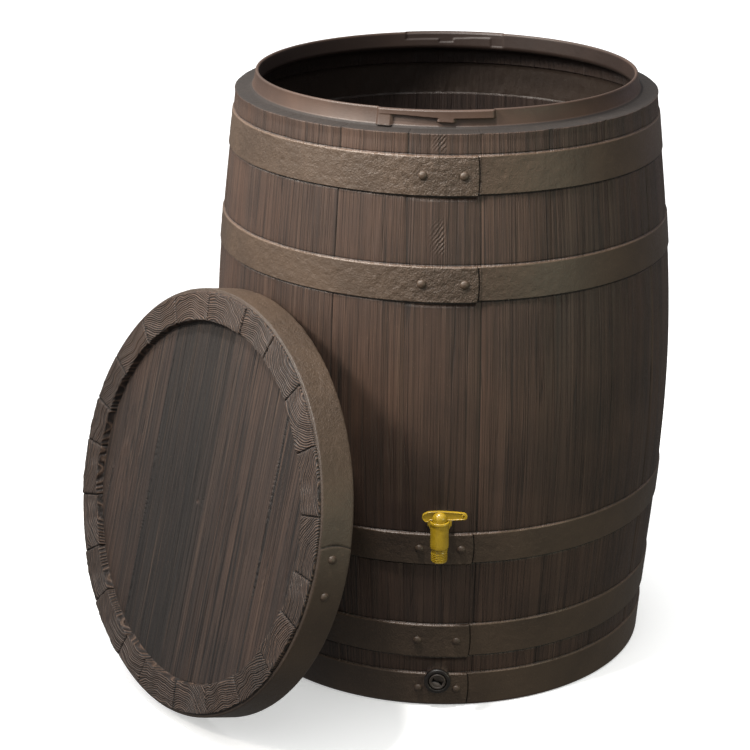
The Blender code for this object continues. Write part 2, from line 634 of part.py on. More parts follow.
# --- Drain -------------------------------------------------------------------------------------------
def make_drain(collection, cutters, materials):
    black, rubber = materials["fitting_black"], materials["seal_rubber"]
    bore = BUSH_SHANK_RADIUS + GAP
    radius, thickness = BUSH_FLANGE
    gasket = ring("drain_gasket", bore, radius - GAP, WASHER_THICKNESS, collection, rubber)
    gasket.matrix_world = along_y(DRAIN_PAD[0] - GAP, DRAIN_HEIGHT)

    flange_back = DRAIN_PAD[0] - 2 * GAP - WASHER_THICKNESS
    shank = flange_back - BUSH_END
    seat = thickness - BUSH_SEAT_DEPTH
    bush = turned("drain_bush", [(BUSH_BORE, seat), (BUSH_SEAT_RADIUS, seat), (BUSH_SEAT_RADIUS, thickness),
                                 (radius - 0.0015, thickness), (radius, thickness - 0.0015), (radius, 0.0),
                                 (BUSH_SHANK_RADIUS, 0.0), (BUSH_SHANK_RADIUS, shank), (BUSH_BORE, shank)],
                  collection, materials["fitting_brown"], 40)
    bush.matrix_world = along_y(flange_back, DRAIN_HEIGHT)

    washer = ring("drain_inner_washer", bore, DRAIN_WASHER_RADIUS, WASHER_THICKNESS, collection, rubber)
    washer.matrix_world = along_y(DRAIN_PAD[1] + GAP + WASHER_THICKNESS, DRAIN_HEIGHT)
    half_flats, nut_thickness = DRAIN_NUT
    nut = hex_nut("drain_lock_nut", half_flats, nut_thickness, bore, collection, cutters, black)
    nut_face = DRAIN_PAD[1] + 2 * GAP + WASHER_THICKNESS
    nut.matrix_world = along_y(nut_face + nut_thickness / 2, DRAIN_HEIGHT)
    nut.modifiers[0].object.matrix_world = nut.matrix_world

    seat_face = flange_back - seat
    seal = ring("drain_plug_seal", DRAIN_SHANK_RADIUS + GAP, DRAIN_HEAD_RADIUS - GAP, DRAIN_SEAL_THICKNESS,
                collection, rubber)
    seal.matrix_world = along_y(seat_face - GAP, DRAIN_HEIGHT)

    head_back = seat_face - 2 * GAP - DRAIN_SEAL_THICKNESS
    head, tip = DRAIN_HEAD_THICKNESS, -DRAIN_SHANK_LENGTH
    plug = turned("drain_plug", [(0.0, head), (DRAIN_HEAD_RADIUS - 0.0008, head),
                                 (DRAIN_HEAD_RADIUS, head - 0.0008), (DRAIN_HEAD_RADIUS, 0.0),
                                 (DRAIN_SHANK_RADIUS, 0.0), (DRAIN_SHANK_RADIUS, tip + 0.001),
                                 (DRAIN_SHANK_RADIUS - 0.001, tip), (0.0, tip)],
                  collection, materials["fitting_brown"], 40)
    plug.matrix_world = along_y(head_back, DRAIN_HEIGHT)
    reach, depth, end, waist = DRAIN_KEY
    bow_tie = [(-reach, -end), (0.0, -waist), (reach, -end), (reach, end), (0.0, waist), (-reach, end)]
    key = flat_plate("drain_key_slot", bow_tie, 2 * depth, cutters)
    key.location = (0.0, head_back - head, DRAIN_HEIGHT)
    key.rotation_euler = (math.pi / 2, DRAIN_KEY_TURN, 0.0)
    boolean(plug, key, "DIFFERENCE")


def build():
    clear_scene()
    collection = make_collection("rain_barrel")
    cutters = make_collection("rain_barrel_tools")
    materials = {name: make_material(name) for name in COLOURS}
    make_barrel(collection, cutters, materials["barrel_brown"])
    make_lid(collection, cutters, materials["barrel_brown"])
    make_tap(collection, cutters, materials)
    make_drain(collection, cutters, materials)
    bpy.context.view_layer.update()
    for obj in collection.objects:
        smooth(obj)
    cutters.hide_render = True


build()
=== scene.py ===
"""The looks of the rain barrel: a woodgrain-moulded barrel with its lid leaning on it, on the CAD frame."""
import math

import bmesh
import bpy
import numpy as np
from mathutils import Matrix, Vector


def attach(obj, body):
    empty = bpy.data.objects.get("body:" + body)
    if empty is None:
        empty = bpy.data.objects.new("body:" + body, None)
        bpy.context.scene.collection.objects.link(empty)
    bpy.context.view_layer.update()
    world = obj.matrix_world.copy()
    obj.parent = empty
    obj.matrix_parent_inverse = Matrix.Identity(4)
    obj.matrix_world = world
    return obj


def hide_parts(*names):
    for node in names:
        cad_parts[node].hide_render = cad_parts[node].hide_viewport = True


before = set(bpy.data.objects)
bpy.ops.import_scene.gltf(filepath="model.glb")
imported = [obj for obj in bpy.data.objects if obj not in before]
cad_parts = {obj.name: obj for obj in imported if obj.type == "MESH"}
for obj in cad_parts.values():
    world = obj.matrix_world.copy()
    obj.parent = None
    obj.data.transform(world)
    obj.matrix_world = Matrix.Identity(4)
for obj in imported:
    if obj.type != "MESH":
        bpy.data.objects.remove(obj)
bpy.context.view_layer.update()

TAU = 2 * math.pi
SEED = 41

# --- Barrel: the CAD's driving dimensions, but for the wall ---
RIM_HEIGHT = 1.030
BELLY_RADIUS = 0.400
BELLY_HEIGHT = 0.511
FALL_BELOW = (0.0197, 4.7)
FALL_ABOVE = (0.0318, 3.8)
STAVES = 20
STAVE_ANGLE = TAU / STAVES
HOOPS = ((0.905, 0.966), (0.736, 0.792), (0.280, 0.335), (0.100, 0.161), (0.006, 0.065))
HOOP_PROUD = 0.0032
HOOP_FOOT_EDGE = 0.0008
HOOP_TOP_BEVEL = 0.0022
CREVICE = (0.0016, 0.0011)              # depth and half width of the gap under a hoop
WALL = 0.0045                           # a little over the CAD wall, so relief on its two sides never meets
SHOULDER_HEIGHT = 1.000
COLLAR_RADIUS = 0.3332
RIM_RADIUS = 0.3262
MOUTH_RADIUS = 0.3205
SEAM_DEPTH = 0.0017
SEAM_WIDTH = 0.0009
LAP_ANGLE = math.radians(8.1)
LAP_RAISE = 0.0022
RIVET_ANGLES = (math.radians(-5.0), math.radians(5.0))
RIVET_SIZE = (0.0073, 0.0050)
# Ripple marks in the grain: degrees round from the front, height and half length.
FEATHERS = ((0.3, 0.836, 0.026), (0.4, 0.986, 0.016), (-39.0, 0.62, 0.03), (76.0, 0.87, 0.03),
            (131.0, 0.45, 0.035), (-118.0, 0.85, 0.028), (201.0, 0.62, 0.03))
FEATHER_PITCH = 0.0085
ARC_RADIUS = 0.38                       # turns angles round the barrel into metres of surface
GRAIN_RADIUS = 0.39                     # of the straight cylinder on which the materials place the grain
TAP_HEIGHT = 0.358
DRAIN_HEIGHT = 0.054
# Flat pads under the tap and the drain: height, radius and distance from the axis.
PADS = ((TAP_HEIGHT, 0.0215, 0.3985), (DRAIN_HEIGHT, 0.0215, 0.3755))

# --- Relief and shade of the barrel's surfaces ---
STAVE_GRAIN = 0.00045
STRAP_DENTS = 0.00075
LAP_NOTCH = 0.0016
INNER_SEAM_DEPTH = 0.0018
LEDGE_TONE, COLLAR_TONE = 2.9, 0.7      # darker where higher, next to 0 to 1 for the staves

# --- Bayonet rails on the collar ---
RAIL_PROUD = 0.0068
RAIL_SPAN = (math.radians(-18.4), math.radians(13.9))
RAIL_FOOT = 1.0175
STOP_SPAN = (math.radians(-18.7), math.radians(-14.6))
DETENT_SPAN = (math.radians(-2.2), math.radians(2.5))
DETENT_FOOT = 1.0115

# --- Lid ---
LID_HEIGHT = 0.064
LID_BACK_RADIUS = 0.3605
LID_RECESS_DEPTH = 0.013
LID_WALL = 0.004
LID_SKIRT_RADIUS = 0.3475
LID_HOOP_TOP = 0.059
LID_HOOP_RADIUS = 0.3572
LID_HOOP_FLARE = 0.0033
LID_ARC_RADIUS = 0.358                  # turns angles round the lid's hoop into metres
LID_TILT = math.radians(14.14)
LID_FACING = math.radians(218.25)
LID_PLACE = (0.4816, math.radians(220.43))
LID_BLOCKS = 22
# Joints between the lid's blocks, in degrees from its own X. The blocks differ in width, as sawn ones do.
LID_JOINTS = (10, 26.6, 42.6, 59, 75, 88.5, 105, 123, 140, 157, 172, 190, 207.5, 225, 242, 257, 270, 286.5,
              303.5, 319, 338, 351)
RING_PITCH = 0.0036
LID_LAP = math.radians(97.0)
LID_RIVETS = (math.radians(94.4), math.radians(84.6))
LID_RIVET_HEIGHT = 0.0333
PLANK_GRAIN = 0.00085                   # depths of the relief on the lid
PLANK_SEAM_DEPTH = 0.0018
BLOCK_JOINT_DEPTH = 0.0030
PLANK_SEAMS = (-0.150, 0.015, 0.200)
PLANK_TONES = np.array([1.5, 2.9, 1.7, 1.4])

# --- Tap and drain ---
SPINDLE_Y = -0.445
SPINDLE = (0.0, SPINDLE_Y, 0.0)
LEVER_EYE = (0.0390, SPINDLE_Y, 0.3893)
STEM_FRONT = -0.4010
TAP_WATERWAY = 0.0080
BUSH_BACK = -0.3786


# === Noise ===
def lattice(shape, seed):
    return np.random.default_rng(seed).uniform(-1.0, 1.0, shape)


def ease(t):
    return t * t * t * (t * (6.0 * t - 15.0) + 10.0)


def step(x, low, high):
    """0 below low, 1 above high, and smooth between."""
    t = np.clip((x - low) / (high - low), 0.0, 1.0)
    return t * t * (3.0 - 2.0 * t)


def window(x, rise, fall):
    """Up from 0 to 1 across rise and down again across fall, each a (start, end) pair."""
    return step(x, *rise) * (1 - step(x, *fall))


def only(mask, values):
    """The values where mask holds, and 0 elsewhere."""
    return np.where(mask, values, 0.0)


def bell(x, width):
    """1 at 0, falling away on both sides: about a third at one width."""
    return np.exp(-(x / width) ** 2)


def wrapped(angle):
    """The same angle, no more than half a turn either way."""
    return (angle + math.pi) % TAU - math.pi


def noise_1d(x, seed):
    """Smooth value noise with a unit wavelength."""
    table = lattice(512, seed)
    cell = np.floor(x).astype(int)
    t = ease(x - cell)
    return table[cell % 512] * (1 - t) + table[(cell + 1) % 512] * t


def noise_2d(x, y, seed):
    table = lattice((256, 256), seed)
    i, j = np.floor(x).astype(int), np.floor(y).astype(int)
    s, t = ease(x - i), ease(y - j)
    i0, i1, j0, j1 = i % 256, (i + 1) % 256, j % 256, (j + 1) % 256
    low = table[i0, j0] * (1 - s) + table[i1, j0] * s
    high = table[i0, j1] * (1 - s) + table[i1, j1] * s
    return low * (1 - t) + high * t


def fractal_2d(x, y, seed, octaves=3, gain=0.5):
    total, size, weight = 0.0, 1.0, 1.0
    for octave in range(octaves):
        total = total + weight * noise_2d(x * size + 17.3 * octave, y * size + 5.1 * octave, seed + octave)
        size, weight = size * 2.03, weight * gain
    return total


def hammered(x, y, seed):
    """Beaten strap iron: pebbly dents with sharp creases between them. x and y in metres."""
    warp = 0.004 * noise_2d(x / 0.03, y / 0.03, seed + 9)
    dents = fractal_2d((x + warp) / 0.0125, (y + warp) / 0.0095, seed, 3, 0.62)
    creases = 1.0 - 2.4 * np.abs(noise_2d((x - warp) / 0.010, (y + warp) / 0.0075, seed + 4))
    pits = np.maximum(noise_2d(x / 0.0065, y / 0.006, seed + 6) - 0.3, 0.0)
    return 0.50 * dents + 0.38 * creases - 0.6 * pits


# === Grain ===
def board_grain(across, along, board, half_width):
    """The distance from a board's pith at each point of its face: lines of equal value are its grain."""
    rng = np.random.default_rng(SEED * 7 + int(board))
    plain = rng.uniform() < 0.45
    offset = rng.uniform(-0.3, 0.3) if plain else rng.choice([-1, 1]) * rng.uniform(1.2, 3.2)
    offset *= half_width
    place = along * rng.uniform(1.6, 3.2) + rng.uniform(0, 50)
    depth = 0.010 + 0.020 * (1.0 + noise_1d(place, int(board) + 300))
    waver = 0.0035 * fractal_2d(across / 0.05, along / 0.22, int(board) + 700, 2)
    return np.sqrt((across - offset + waver) ** 2 + depth ** 2)


def grain_relief(grain, across, along, seed):
    """Ridges of worn early and late wood, from about 1 to -1."""
    rings = noise_1d(grain / 0.0052, seed) + 0.6 * noise_1d(grain / 0.0026, seed + 1)
    fibres = noise_2d(across / 0.0034, along / 0.09, seed + 2)
    checks = np.minimum(noise_2d(across / 0.0042, along / 0.16, seed + 3) + 0.62, 0.0)
    return 0.55 * rings + 0.30 * fibres + 1.8 * checks


# === Meshes ===
def grid_mesh(name, points, attributes, uv, wrap=True, own=None):
    """A closed surface from rows of points round an axis. A point closes the first row, and one the last."""
    rows, columns, _ = points.shape
    first, last = points[0].mean(0), points[-1].mean(0)
    vertices = np.concatenate([points.reshape(-1, 3), first[None], last[None]])
    column = np.arange(columns)
    after = (column + 1) % columns
    row = np.arange(rows - 1)[:, None] * columns
    below = row + columns
    quads = np.stack([row + column, row + after, below + after, below + column], -1).reshape(-1, 4)
    pole = rows * columns
    low_fan = np.stack([np.full(columns, pole), after, column], -1)
    base = (rows - 1) * columns
    high_fan = np.stack([np.full(columns, pole + 1), base + column, base + after], -1)

    a, b, c, d = (vertices[quads[:, i]] for i in range(4))
    volume = np.einsum("ij,ij->i", a, np.cross(b, c)).sum() + np.einsum("ij,ij->i", a, np.cross(c, d)).sum()
    if volume < 0:
        quads, low_fan, high_fan = quads[:, ::-1], low_fan[:, ::-1], high_fan[:, ::-1]

    loops = np.concatenate([quads.ravel(), low_fan.ravel(), high_fan.ravel()])
    mesh = bpy.data.meshes.new(name)
    mesh.from_pydata(vertices.tolist(), [], [*quads.tolist(), *low_fan.tolist(), *high_fan.tolist()])
    mesh.validate()

    def whole(values):
        """A value for each point of the grid, and nothing for the two closing points."""
        return np.concatenate([np.broadcast_to(values, (rows, columns)).ravel(), [0.0, 0.0]])

    for key, values in attributes.items():
        add_values(mesh, key, whole(values))
    own_place(mesh, own)
    layer = mesh.uv_layers.new(name="metres")
    u, v = (whole(part) for part in uv)
    loop_u = u[loops]
    if wrap:
        span = u.max() - u.min()
        for size, begin, count in ((4, 0, len(quads)), (3, 4 * len(quads), 2 * columns)):
            block = loop_u[begin:begin + size * count].reshape(count, size)
            torn = block.max(1) - block.min(1) > span / 2
            block[torn] = np.where(block[torn] < u.min() + span / 2, block[torn] + span, block[torn])
    layer.data.foreach_set("uv", np.stack([loop_u, v[loops]], -1).astype(np.float32).ravel())
    mesh.shade_smooth()
    return mesh


def add_values(mesh, key, values):
    """Keeps a number for each point, for the materials."""
    mesh.attributes.new(key, "FLOAT", "POINT").data.foreach_set("value", values.astype(np.float32))


def own_place(mesh, own=None):
    """Keeps each point's place in the piece's own frame, for the materials, before the piece is moved.
    own, where given, is used instead for all but the two closing points."""
    points = np.empty(3 * len(mesh.vertices), np.float32)
    mesh.vertices.foreach_get("co", points)
    if own is not None:
        points[:own.size] = own.astype(np.float32).ravel()
    mesh.attributes.new("own", "FLOAT_VECTOR", "POINT").data.foreach_set("vector", points)


def new_object(name, mesh, material):
    obj = bpy.data.objects.new(name, mesh)
    bpy.context.scene.collection.objects.link(obj)
    paint(obj, material)
    return obj


def paint(obj, material):
    obj.data.materials.clear()
    obj.data.materials.append(material)


def polar(radius, angle, height):
    return (radius * math.cos(angle), radius * math.sin(angle), height)


def circle(shape, radius, height, steps):
    """A ring of new points about Z, or a single one where there is no radius."""
    if radius < 1e-7:
        return [shape.verts.new((0.0, 0.0, height))]
    return [shape.verts.new(polar(radius, TAU * i / steps, height)) for i in range(steps)]


def skin(shape, rings, closed):
    """Faces between rings that follow each other, and between the last and the first where closed."""
    steps = max(len(ring) for ring in rings)
    for upper, lower in zip(rings, rings[1:] + (rings[:1] if closed else [])):
        for i in range(steps):
            j = (i + 1) % steps
            corners = [ring[k % len(ring)] for ring, k in ((upper, i), (upper, j), (lower, j), (lower, i))]
            corners = list(dict.fromkeys(corners))
            if len(corners) > 2:
                shape.faces.new(corners)
    bmesh.ops.recalc_face_normals(shape, faces=shape.faces)


def turned_mesh(profile, steps):
    """A closed turned solid about Z, from the (radius, height) points of its section."""
    shape = bmesh.new()
    rings = [circle(shape, radius, height, steps) for radius, height in profile]
    skin(shape, rings, len(rings[0]) > 1)
    return shape


def corner_curve(before, corner, after, radius, share, steps):
    """Points of the short curve that takes a corner's place, using up at most a share of either side."""
    a, b, c = Vector(before), Vector(corner), Vector(after)
    reach = min(radius, share * (a - b).length, share * (c - b).length)
    start, end = b + (a - b).normalized() * reach, b + (c - b).normalized() * reach
    places = [i / steps for i in range(steps + 1)]
    return [(1 - t) ** 2 * start + 2 * t * (1 - t) * b + t ** 2 * end for t in places]


def rounded(points, radius):
    """An open outline with its corners rounded."""
    result = [points[0]]
    for corner in zip(points, points[1:], points[2:]):
        result += [tuple(point) for point in corner_curve(*corner, radius, 0.45, 4)]
    return result + [points[-1]]


def mesh_from(shape, name):
    mesh = bpy.data.meshes.new(name)
    shape.to_mesh(mesh)
    shape.free()
    mesh.shade_smooth()
    mesh.set_sharp_from_angle(angle=math.radians(38))
    return mesh


def join_meshes(target, others):
    bpy.context.view_layer.update()
    bpy.ops.object.select_all(action="DESELECT")
    for obj in (*others, target):
        obj.select_set(True)
    bpy.context.view_layer.objects.active = target
    bpy.ops.object.join()
    target.select_set(False)
    return target


def cut_away(obj, cutter):
    """Cuts cutter's shape out of obj for good."""
    cut = obj.modifiers.new("cut", "BOOLEAN")
    cut.operation, cut.object, cut.solver = "DIFFERENCE", cutter, "EXACT"
    bpy.context.view_layer.update()
    shaped = bpy.data.meshes.new_from_object(obj.evaluated_get(bpy.context.evaluated_depsgraph_get()))
    obj.modifiers.clear()
    obj.data = shaped
    bpy.data.objects.remove(cutter)
    if not len(shaped.polygons):
        raise RuntimeError(f"the cut left nothing of {obj.name}")


def add_rivet(place, material):
    """A rivet's head, moved by place: a low dome with a soft foot, sunk a little into what it sits on."""
    radius, height = RIVET_SIZE
    profile = [(0.0, height)]
    for i in range(1, 9):
        angle = math.pi / 2 * i / 8
        profile.append((radius * math.sin(angle), height * math.cos(angle)))
    profile += [(radius * 1.06, -0.0006), (radius * 0.9, -0.0016), (0.0, -0.0016)]
    mesh = mesh_from(turned_mesh(profile, 28), "rivet")
    for key, value in (("metal", 1.0), ("rough", 0.3)):
        add_values(mesh, key, np.full(len(mesh.vertices), value))
    own_place(mesh)
    head = new_object("rivet", mesh, material)
    head.matrix_world = place
    return head


def numbered(parts):
    """Rows of (radius, height, kind) from lists of (radius, height), one list for each kind."""
    return np.array([(*point, kind) for kind, points in enumerate(parts) for point in points])


def over_grid(rows, angles):
    """The angle, radius, height and kind at each point, from rows of (radius, height, kind) and angles."""
    angle = np.broadcast_to(angles[None, :], (len(rows), len(angles))).copy()
    return angle, *(np.broadcast_to(rows[:, i, None], angle.shape).copy() for i in range(3))


# === Barrel ===
def stave_radius(height):
    from_belly = height - BELLY_HEIGHT
    below, above = (depth * (1 - np.cos(rate * from_belly)) for depth, rate in (FALL_BELOW, FALL_ABOVE))
    return BELLY_RADIUS - np.where(from_belly > 0, above, below)


def barrel_columns():
    """Angles round the barrel from the front, close together at the seams and at the hoops' laps."""
    half = STAVE_ANGLE / 2
    near = np.radians([0.0, 0.09, 0.19, 0.32, 0.55, 0.85])
    middle = np.linspace(near[-1], STAVE_ANGLE - near[-1], 46)[1:-1]
    one = np.concatenate([near, middle, STAVE_ANGLE - near[:0:-1]])
    angles = np.concatenate([one + half + k * STAVE_ANGLE for k in range(STAVES)])
    lap = LAP_ANGLE + np.radians(np.linspace(-1.0, 0.6, 17))
    angles = np.concatenate([angles, lap, lap + TAU])
    angles = np.unique(np.round(angles[(angles >= half) & (angles < TAU + half)], 6))
    keep = np.concatenate([[True], np.diff(angles) > 0.0006])
    return angles[keep]


def outer_heights():
    """Heights down the outside, below the shoulder: close at hoop edges, 3 mm on hoops, 7 mm on staves."""
    crown = np.array([0.0034, 0.0024, 0.0016, 0.0009, 0.0003, -0.0003, -0.0011, -0.0019, -0.0026, -0.0034])
    foot = np.array([0.0022, 0.0012, 0.0004, -0.0004, -0.0012, -0.0020, -0.0030, -0.0042])
    heights = []
    upper = SHOULDER_HEIGHT - 0.0035
    for bottom, top in HOOPS:
        gap = np.arange(upper - 0.006, top + 0.005, -0.0068)
        on_hoop = np.arange(top - 0.0046, bottom + 0.0030, -0.0024)
        heights += [gap, top + crown, on_hoop, bottom + foot]
        upper = bottom
    heights = np.unique(np.round(np.concatenate(heights), 5))[::-1]
    return heights[heights > HOOPS[-1][0] - 0.0001]


def hoop_mask(height):
    mask = np.zeros_like(height)
    for bottom, top in HOOPS:
        rise = step(height, bottom - HOOP_FOOT_EDGE / 2, bottom + HOOP_FOOT_EDGE / 2)
        fall = np.clip((height - (top - HOOP_TOP_BEVEL)) / HOOP_TOP_BEVEL, 0.0, 1.0) ** 2
        mask = np.maximum(mask, rise * (1 - fall))
    return mask


def hoop_lines(height):
    """Masks from 0 to 1: the gap under each hoop, used for its groove and for its painted shade, and the
    painted highlight along its top bevel.
    """
    gap, bevel = np.zeros_like(height), np.zeros_like(height)
    for bottom, top in HOOPS:
        # the gap under the hoop and a fainter one just above its top: grooves, with painted shade in them
        gap = np.maximum(gap, bell(height - bottom + 1.5 * CREVICE[1], CREVICE[1]))
        gap = np.maximum(gap, 0.45 * bell(height - top - 0.0012, 0.0009))
        # painted highlight just under each hoop's top edge
        bevel = np.maximum(bevel, bell(height - top + 0.0010, 0.0014))
    return gap, bevel


def stave_fields(angle, height, radius):
    """For each point: its stave's number, its distance in metres from the stave's middle and from a seam."""
    wander = np.radians(0.10) * noise_2d(angle * 3.0, height * 4.0, 77)
    place = (angle + wander) / STAVE_ANGLE
    stave = np.floor(place + 0.5)
    across = (place - stave) * STAVE_ANGLE * radius
    to_seam = STAVE_ANGLE * radius / 2 - np.abs(across)
    return stave.astype(int) % STAVES, across, to_seam


def per_stave(stave, seed):
    return lattice(STAVES, seed)[stave]


def lap_fields(angle, height):
    """The strap's raise towards its lap end, and the step's own line, for every hoop."""
    raised, ends = np.zeros_like(height), np.zeros_like(height)
    for number, (bottom, top) in enumerate(HOOPS):
        t = (height - (bottom + top) / 2) / ((top - bottom) / 2)
        inside = np.abs(t) < 1.15
        end = LAP_ANGLE + np.radians(0.35) * (1 - t * t) - np.radians(0.12 * number)
        turn = wrapped(end - angle)
        left = window(turn, (-0.0008, 0.0014), (math.radians(5), math.radians(46)))
        raised = np.where(inside, left, raised)
        ends = np.where(inside, bell(turn + 0.0022, 0.0020), ends)
    return raised, ends


def bayonet(angle, height):
    """How far the rails stand out of the collar, from 0 to 1."""
    total = np.zeros_like(height)
    soft = math.radians(0.18)
    for turn in (0.0, math.pi):
        a = wrapped(angle - turn)
        (start, end), (nub_start, nub_end), (stop_start, stop_end) = RAIL_SPAN, DETENT_SPAN, STOP_SPAN
        along = window(a, (start - 4 * soft, start + 2 * soft), (end - 4 * soft, end))
        nub = window(a, (nub_start - soft, nub_start + soft), (nub_end - soft, nub_end + soft))
        foot = RAIL_FOOT + 0.0040 * step(-a, -0.06, 0.26) - 0.0010 + (DETENT_FOOT - RAIL_FOOT) * nub
        rail = along * step(height, foot - 0.0007, foot + 0.0007)
        stop = window(a, (stop_start - 3 * soft, stop_start + soft), (stop_end - soft, stop_end))
        stop = 0.9 * stop * step(height, 1.0016, 1.0044)
        total = np.maximum(total, np.maximum(rail, stop))
    return total * (1 - step(height, RIM_HEIGHT - 0.0012, RIM_HEIGHT + 0.0004) * 0.45)


def barrel_rows():
    """The section of the shell as rows of (radius, height, kind), from inside the base, over the rim, to the
    underside. Kinds: 0 inside wall, 1 inside of the neck, 2 rim and collar, 3 shoulder, 4 outside, 5 base."""
    floor_radii = (0.02, 0.06, 0.10, 0.105, 0.11, 0.115, 0.12, 0.20, 0.28, 0.285, 0.29, 0.295, 0.30, 0.33)
    floor = [(r, 0.004 + 0.0075 * window(r, (0.10, 0.12), (0.28, 0.30))) for r in floor_radii]
    edges = np.array([-0.0018, -0.0006, 0.0006, 0.0018])
    at_hoops = [z + edges for hoop in HOOPS[:4] for z in hoop]
    levels = np.unique(np.round(np.concatenate([np.arange(0.016, 0.981, 0.0095), *at_hoops]), 4))
    collar = []
    for z in np.arange(1.0274, 1.0045, -0.0009):
        t = (RIM_HEIGHT - z) / (RIM_HEIGHT - SHOULDER_HEIGHT)
        collar.append((RIM_RADIUS + (COLLAR_RADIUS - RIM_RADIUS) * t ** 1.6, z))
    foot = stave_radius(0.006) + HOOP_PROUD
    parts = (
        floor + [(0.350, 0.0050), (0.3585, 0.0100)]
        + [(stave_radius(z) - WALL, z) for z in levels[levels < 0.984]],
        [(0.3548, 0.9860), (0.3535, 0.9905), (0.3500, 0.9940), (0.3450, 0.9952), (0.3330, 0.9958),
         (0.3262, 0.9975), (0.3222, 1.0005), (0.3208, 1.0040)]
        + [(MOUTH_RADIUS, z) for z in np.arange(1.0055, 1.0272, 0.0015)],
        [(0.3208, 1.0284), (0.3216, 1.0294), (0.3230, 1.0300), (0.3243, 1.0300), (0.3255, 1.0294),
         (0.3261, 1.0284)] + collar,
        [(0.3334, 1.0034), (0.3342, 1.0018), (0.3356, 1.0008), (0.3378, 1.0003)]
        + [(r, SHOULDER_HEIGHT) for r in np.arange(0.3400, 0.3590, 0.0022)]
        + [(0.3595, SHOULDER_HEIGHT), (0.3603, 0.9997)],
        [(0.3607, 0.9990), (0.3609, 0.9978)] + [(stave_radius(z), z) for z in outer_heights()],
        [(foot - 0.0008, 0.0032), (foot - 0.0028, 0.0012), (foot - 0.0060, 0.0003), (0.350, 0.0),
         (0.325, 0.0), (0.300, 0.0), (0.297, 0.002), (0.292, 0.0075), (0.288, 0.008), (0.20, 0.008),
         (0.115, 0.008), (0.110, 0.0075), (0.103, 0.001), (0.10, 0.0), (0.05, 0.0), (0.02, 0.0)])
    return numbered(parts)


